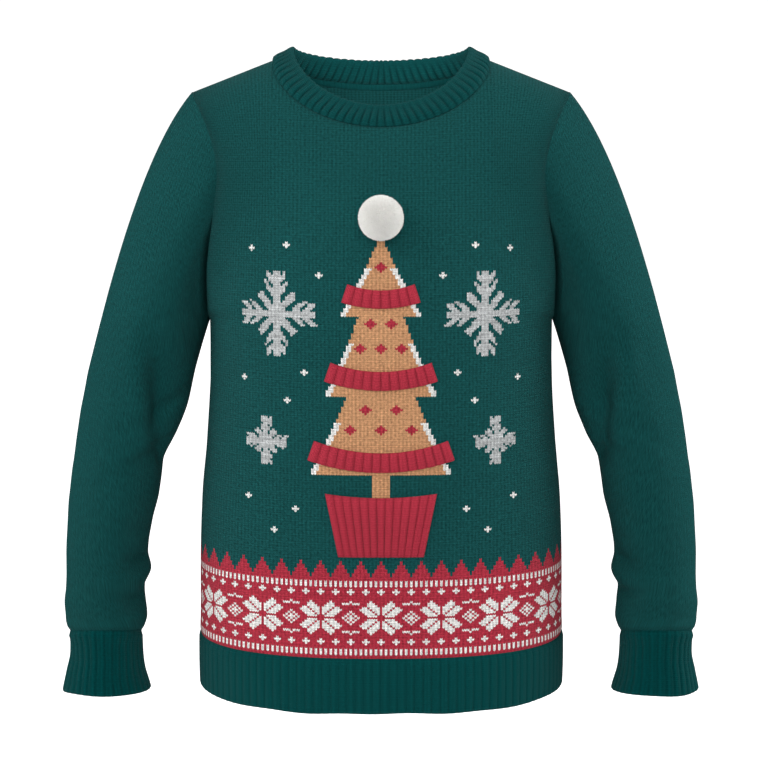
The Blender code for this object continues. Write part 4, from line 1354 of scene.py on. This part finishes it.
applied = {
    "gap": 0.0003, "wall": 0.0024, "pitch": 0.0085, "ribHeight": 0.0015, "rows": 15, "backRows": 3, "seed": 9,
    "endRibs": 0.25, "endHeight": 0.2,  # so much of a rib at each end rounds off to this share of its height
}
garlands = {
    "garland_top": {"height": -0.222, "halfLength": 0.036, "sag": 0.006, "width": 0.018},
    "garland_middle": {"height": -0.300, "halfLength": 0.053, "sag": 0.009, "width": 0.019},
    "garland_bottom": {"height": -0.380, "halfLength": 0.070, "sag": 0.012, "width": 0.020},
}
pot = {"top": -0.428, "bottom": -0.489, "halfTop": 0.056, "halfBottom": 0.043, "rimRise": 0.004}


def makeApplied(name, ribs, placeGrid, swell):
    # rows go up the face of the piece and back down behind it, where it lies on the front
    place = np.append(ribColumns(ribs), ribs)
    share = (2 * place / ribs - 1)[None]
    angle = np.linspace(0, math.pi, applied["rows"])[:, None]
    up = (1 - np.cos(angle)) / 2
    x, height = placeGrid(share, np.concatenate([up, np.linspace(1, 0, applied["backRows"] + 2)[1:-1, None]]))
    column = x / shoulderHalf
    steps = stepAt("front", column, height)
    past = np.clip(1 - (1 - np.abs(share)) * ribs / 2 / applied["endRibs"], 0, 1)
    ends = np.sqrt(np.clip(1 - past**2, applied["endHeight"] ** 2, 1))
    crest = ribCrest(applied, place, ribs, applied["seed"])[None]
    face = (applied["wall"] * swell(up) + crest) * np.sin(angle) ** 0.45 * ends
    lift = applied["gap"] + np.concatenate([face, np.zeros((applied["backRows"], len(place)))])
    grid = clothPoint("front", column, steps) + panelNormal("front", column, steps) * lift[..., None]
    shape = newShape()
    closedGrid(shape, grid, ribUv(place, lengthAlong(grid) / chart["course"]), False)
    return makeObject(f"{name}_knit", shape, materials["appliedRib"], name, sharpAngle=75)


def makeGarland(name, sizes):
    # a swag whose ribs stand across it: its middle hangs lower than its ends
    def placeGrid(share, ups):
        up = (ups - 0.5) * sizes["width"]
        lean = 2 * sizes["sag"] / sizes["halfLength"] * share
        middle = sizes["height"] - sizes["sag"] * (1 - share**2)
        return sizes["halfLength"] * share - up * lean, middle + up

    ribs = round(2 * sizes["halfLength"] / applied["pitch"])
    return makeApplied(name, ribs, placeGrid, lambda up: 1 + 0.25 * np.sin(math.pi * up))


def makePot():
    # a pot whose ribs draw in towards its foot, with a free top edge that stands a little high
    def placeGrid(share, ups):
        x = (pot["halfBottom"] + (pot["halfTop"] - pot["halfBottom"]) * ups) * share
        return x, pot["bottom"] + (pot["top"] - pot["bottom"] + pot["rimRise"] * share**2) * ups

    ribs = round(2 * pot["halfTop"] / applied["pitch"])
    return makeApplied("pot", ribs, placeGrid, lambda up: 1 + 0.9 * easeInOut((up - 0.3) / 0.6))


appliedPieces = [makeGarland(name, sizes) for name, sizes in garlands.items()]
appliedPieces.append(makePot())


# Pompom


pompom = {
    "height": -0.151,
    "radius": 0.0208,
    "sink": 0.74,  # in radii, from its centre to the flat side that lies on the front
    "gap": 0.0004,
    "core": 0.0190,
    "strands": 7000,
    "root": 0.001,  # how deep in the core a strand starts
    "reach": 0.0228,
    "lean": 0.16,
    "bareFrom": -0.6,  # strands only where the cosine of the turn from straight out is above this
    "strand": ((0, 0.00042), (0.62, 0.00036), (1, 0.00012)),  # thickness at shares of its length
    "seed": 21,
}


def pompomMaterial():
    material, tree, shader = newMaterial("pompomYarn")
    fibres = placeGroup(tree, fuzzGroup, {"Position": tree.nodes.new("ShaderNodeTexCoord").outputs["Object"]})
    connect(tree, bumpNode(tree, fibres["Height"], 0.0004), shader.inputs["Normal"])
    setInputs(shader, {
        "Base Color": (*yarn["white"], 1),
        "Roughness": 0.9,
        "Specular IOR Level": 0.2,
        "Sheen Weight": 0.3,
        "Sheen Roughness": 0.5,
    })
    return material


def makePompom():
    # a ball, flattened where it is sewn on, in a coat of short three-sided strands that stand out all round
    column = np.zeros(1)
    step = stepAt("front", column, np.full(1, pompom["height"]))
    away = panelNormal("front", column, step)[0]
    stand = pompom["radius"] * pompom["sink"]
    centre = clothPoint("front", column, step)[0] + away * (stand + pompom["gap"])
    rng = np.random.default_rng(pompom["seed"])
    count = pompom["strands"]
    # points spread evenly over the ball: equal steps of height, and a golden-angle turn from one to the next
    level = 1 - 2 * (np.arange(count) + 0.5) / count
    turn = np.arange(count) * math.pi * (3 - math.sqrt(5))
    ring = np.sqrt(1 - level**2)
    out = toPoints(ring * np.cos(turn), ring * np.sin(turn), level)
    out = out[out @ away > pompom["bareFrom"]]
    lean = toUnit(out + pompom["lean"] * rng.standard_normal(out.shape))
    root = centre + out * (pompom["core"] - pompom["root"])
    tall = (pompom["reach"] - pompom["core"] + pompom["root"]) * rng.uniform(0.75, 1.0, len(out))[:, None]
    aside = toUnit(np.cross(lean, rng.standard_normal(out.shape)))
    other = np.cross(lean, aside)
    corners = []
    for along, thick in pompom["strand"]:
        for angle in (0, 2 * math.pi / 3, 4 * math.pi / 3):
            across = aside * math.cos(angle) + other * math.sin(angle)
            corners.append(root + lean * tall * along + thick * across)
    strands = np.stack(corners, axis=1)
    ball = bmesh.new()
    bmesh.ops.create_icosphere(ball, subdivisions=4, radius=pompom["core"])
    ball.verts.ensure_lookup_table()
    core = np.array([v.co for v in ball.verts]) + centre
    coreFaces = np.array([[v.index for v in f.verts] for f in ball.faces])
    ball.free()
    points = np.concatenate([core, strands.reshape(-1, 3)])
    tooDeep = np.clip(-stand - (points - centre) @ away, 0, None)
    points = (points + tooDeep[:, None] * away)[None]
    shape = newShape()
    addPoints(shape, points, points[..., :2] / chart["course"])
    addFaces(shape, coreFaces, coreFaces)
    first = len(core) + 9 * np.arange(len(out))[:, None]
    edges = ((0, 1), (1, 2), (2, 0))
    sides = [[low + i, low + j, low + 3 + j, low + 3 + i] for low in (0, 3) for i, j in edges]
    for strandFace in (*sides, [6, 7, 8], [2, 1, 0]):
        faces = first + np.array([strandFace])
        addFaces(shape, faces, faces)
    return makeObject("pompom_yarn", shape, pompomMaterial(), "pompom", sharpAngle=80)


makePompom()


# Studio: a pale floor far below, a white backdrop, soft light all round and large soft lamps


studio = {"floorHeight": -1.6, "floorHalf": 12.0, "backdrop": 1.09, "fill": 0.3}
lamps = [  # place, point aimed at, diameter, power: the last is small and lights the inside of the neck
    ((2.1, 0.3, 0.5), (0, 0, -0.3), 1.2, 45.0),
    ((-2.1, 0.3, 0.5), (0, 0, -0.3), 1.2, 9.0),
    ((-2.0, -0.5, 0.7), (0, 0, -0.3), 1.2, 19.0),
    ((-1.5, -1.6, 0.9), (0, 0, -0.3), 1.2, 11.0),
    ((0.0, -2.2, 0.3), (0, 0, -0.3), 1.6, 29.0),
    ((0.0, -1.3, 1.7), (0, 0, -0.3), 1.4, 10.0),
    ((0.0, 2.3, 0.8), (0, 0, -0.3), 1.6, 16.0),
    ((0.0, -0.035, -0.06), (0, 0.065, -0.03), 0.09, 0.09),
]
cameraView = {"lens": 91.17, "sensor": 36, "target": (0.003, 0, -0.3312), "pitch": 9, "distance": 2.04}


def aimAt(item, target):
    item.rotation_euler = (Vector(target) - item.location).to_track_quat("-Z", "Y").to_euler()


def seenOnly(tree, seen, unseen):
    # one value where the camera looks straight at the surface, another for the light that falls on things
    direct = tree.nodes.new("ShaderNodeLightPath").outputs["Is Camera Ray"]
    return mathNode(tree, "ADD", mathNode(tree, "MULTIPLY", direct, seen - unseen), unseen)


def makeStudio():
    mesh = bpy.data.meshes.new("floor")
    half = studio["floorHalf"]
    corners = [(-half, -half, 0), (half, -half, 0), (half, half, 0), (-half, half, 0)]
    mesh.from_pydata(corners, [], [(0, 1, 2, 3)])
    floor = newObject("floor", mesh)
    floor.location.z = studio["floorHeight"]
    paint, tree, shader = newMaterial("floorPaint")
    setInputs(shader, {"Base Color": (0.95, 0.95, 0.95, 1), "Roughness": 1, "Emission Color": (1, 1, 1, 1)})
    connect(tree, seenOnly(tree, 1, 0), shader.inputs["Emission Strength"])
    mesh.materials.append(paint)
    world = bpy.data.worlds.new("studioWorld")
    world.use_nodes = True
    tree = world.node_tree
    sky = tree.nodes["Background"]
    sky.inputs["Color"].default_value = (1, 1, 1, 1)
    connect(tree, seenOnly(tree, studio["backdrop"], studio["fill"]), sky.inputs["Strength"])
    bpy.context.scene.world = world
    for number, (place, aim, size, power) in enumerate(lamps):
        light = bpy.data.lights.new(f"lamp{number}", "AREA")
        light.shape = "DISK"
        light.size = size
        light.energy = power
        lamp = newObject(f"lamp{number}", light)
        lamp.location = place
        aimAt(lamp, aim)
        lamp.visible_camera = False


def makeCamera():
    # the front of the garment from a little above the middle, through a long lens
    lens = bpy.data.cameras.new("camera")
    lens.lens = cameraView["lens"]
    lens.sensor_width = cameraView["sensor"]
    camera = newObject("camera", lens)
    pitch = math.radians(cameraView["pitch"])
    back = Vector((0, -math.cos(pitch), math.sin(pitch)))
    camera.location = Vector(cameraView["target"]) + cameraView["distance"] * back
    aimAt(camera, cameraView["target"])
    bpy.context.scene.camera = camera


makeStudio()
makeCamera()
bpy.context.scene.view_settings.view_transform = "Standard"
print("studio and camera")
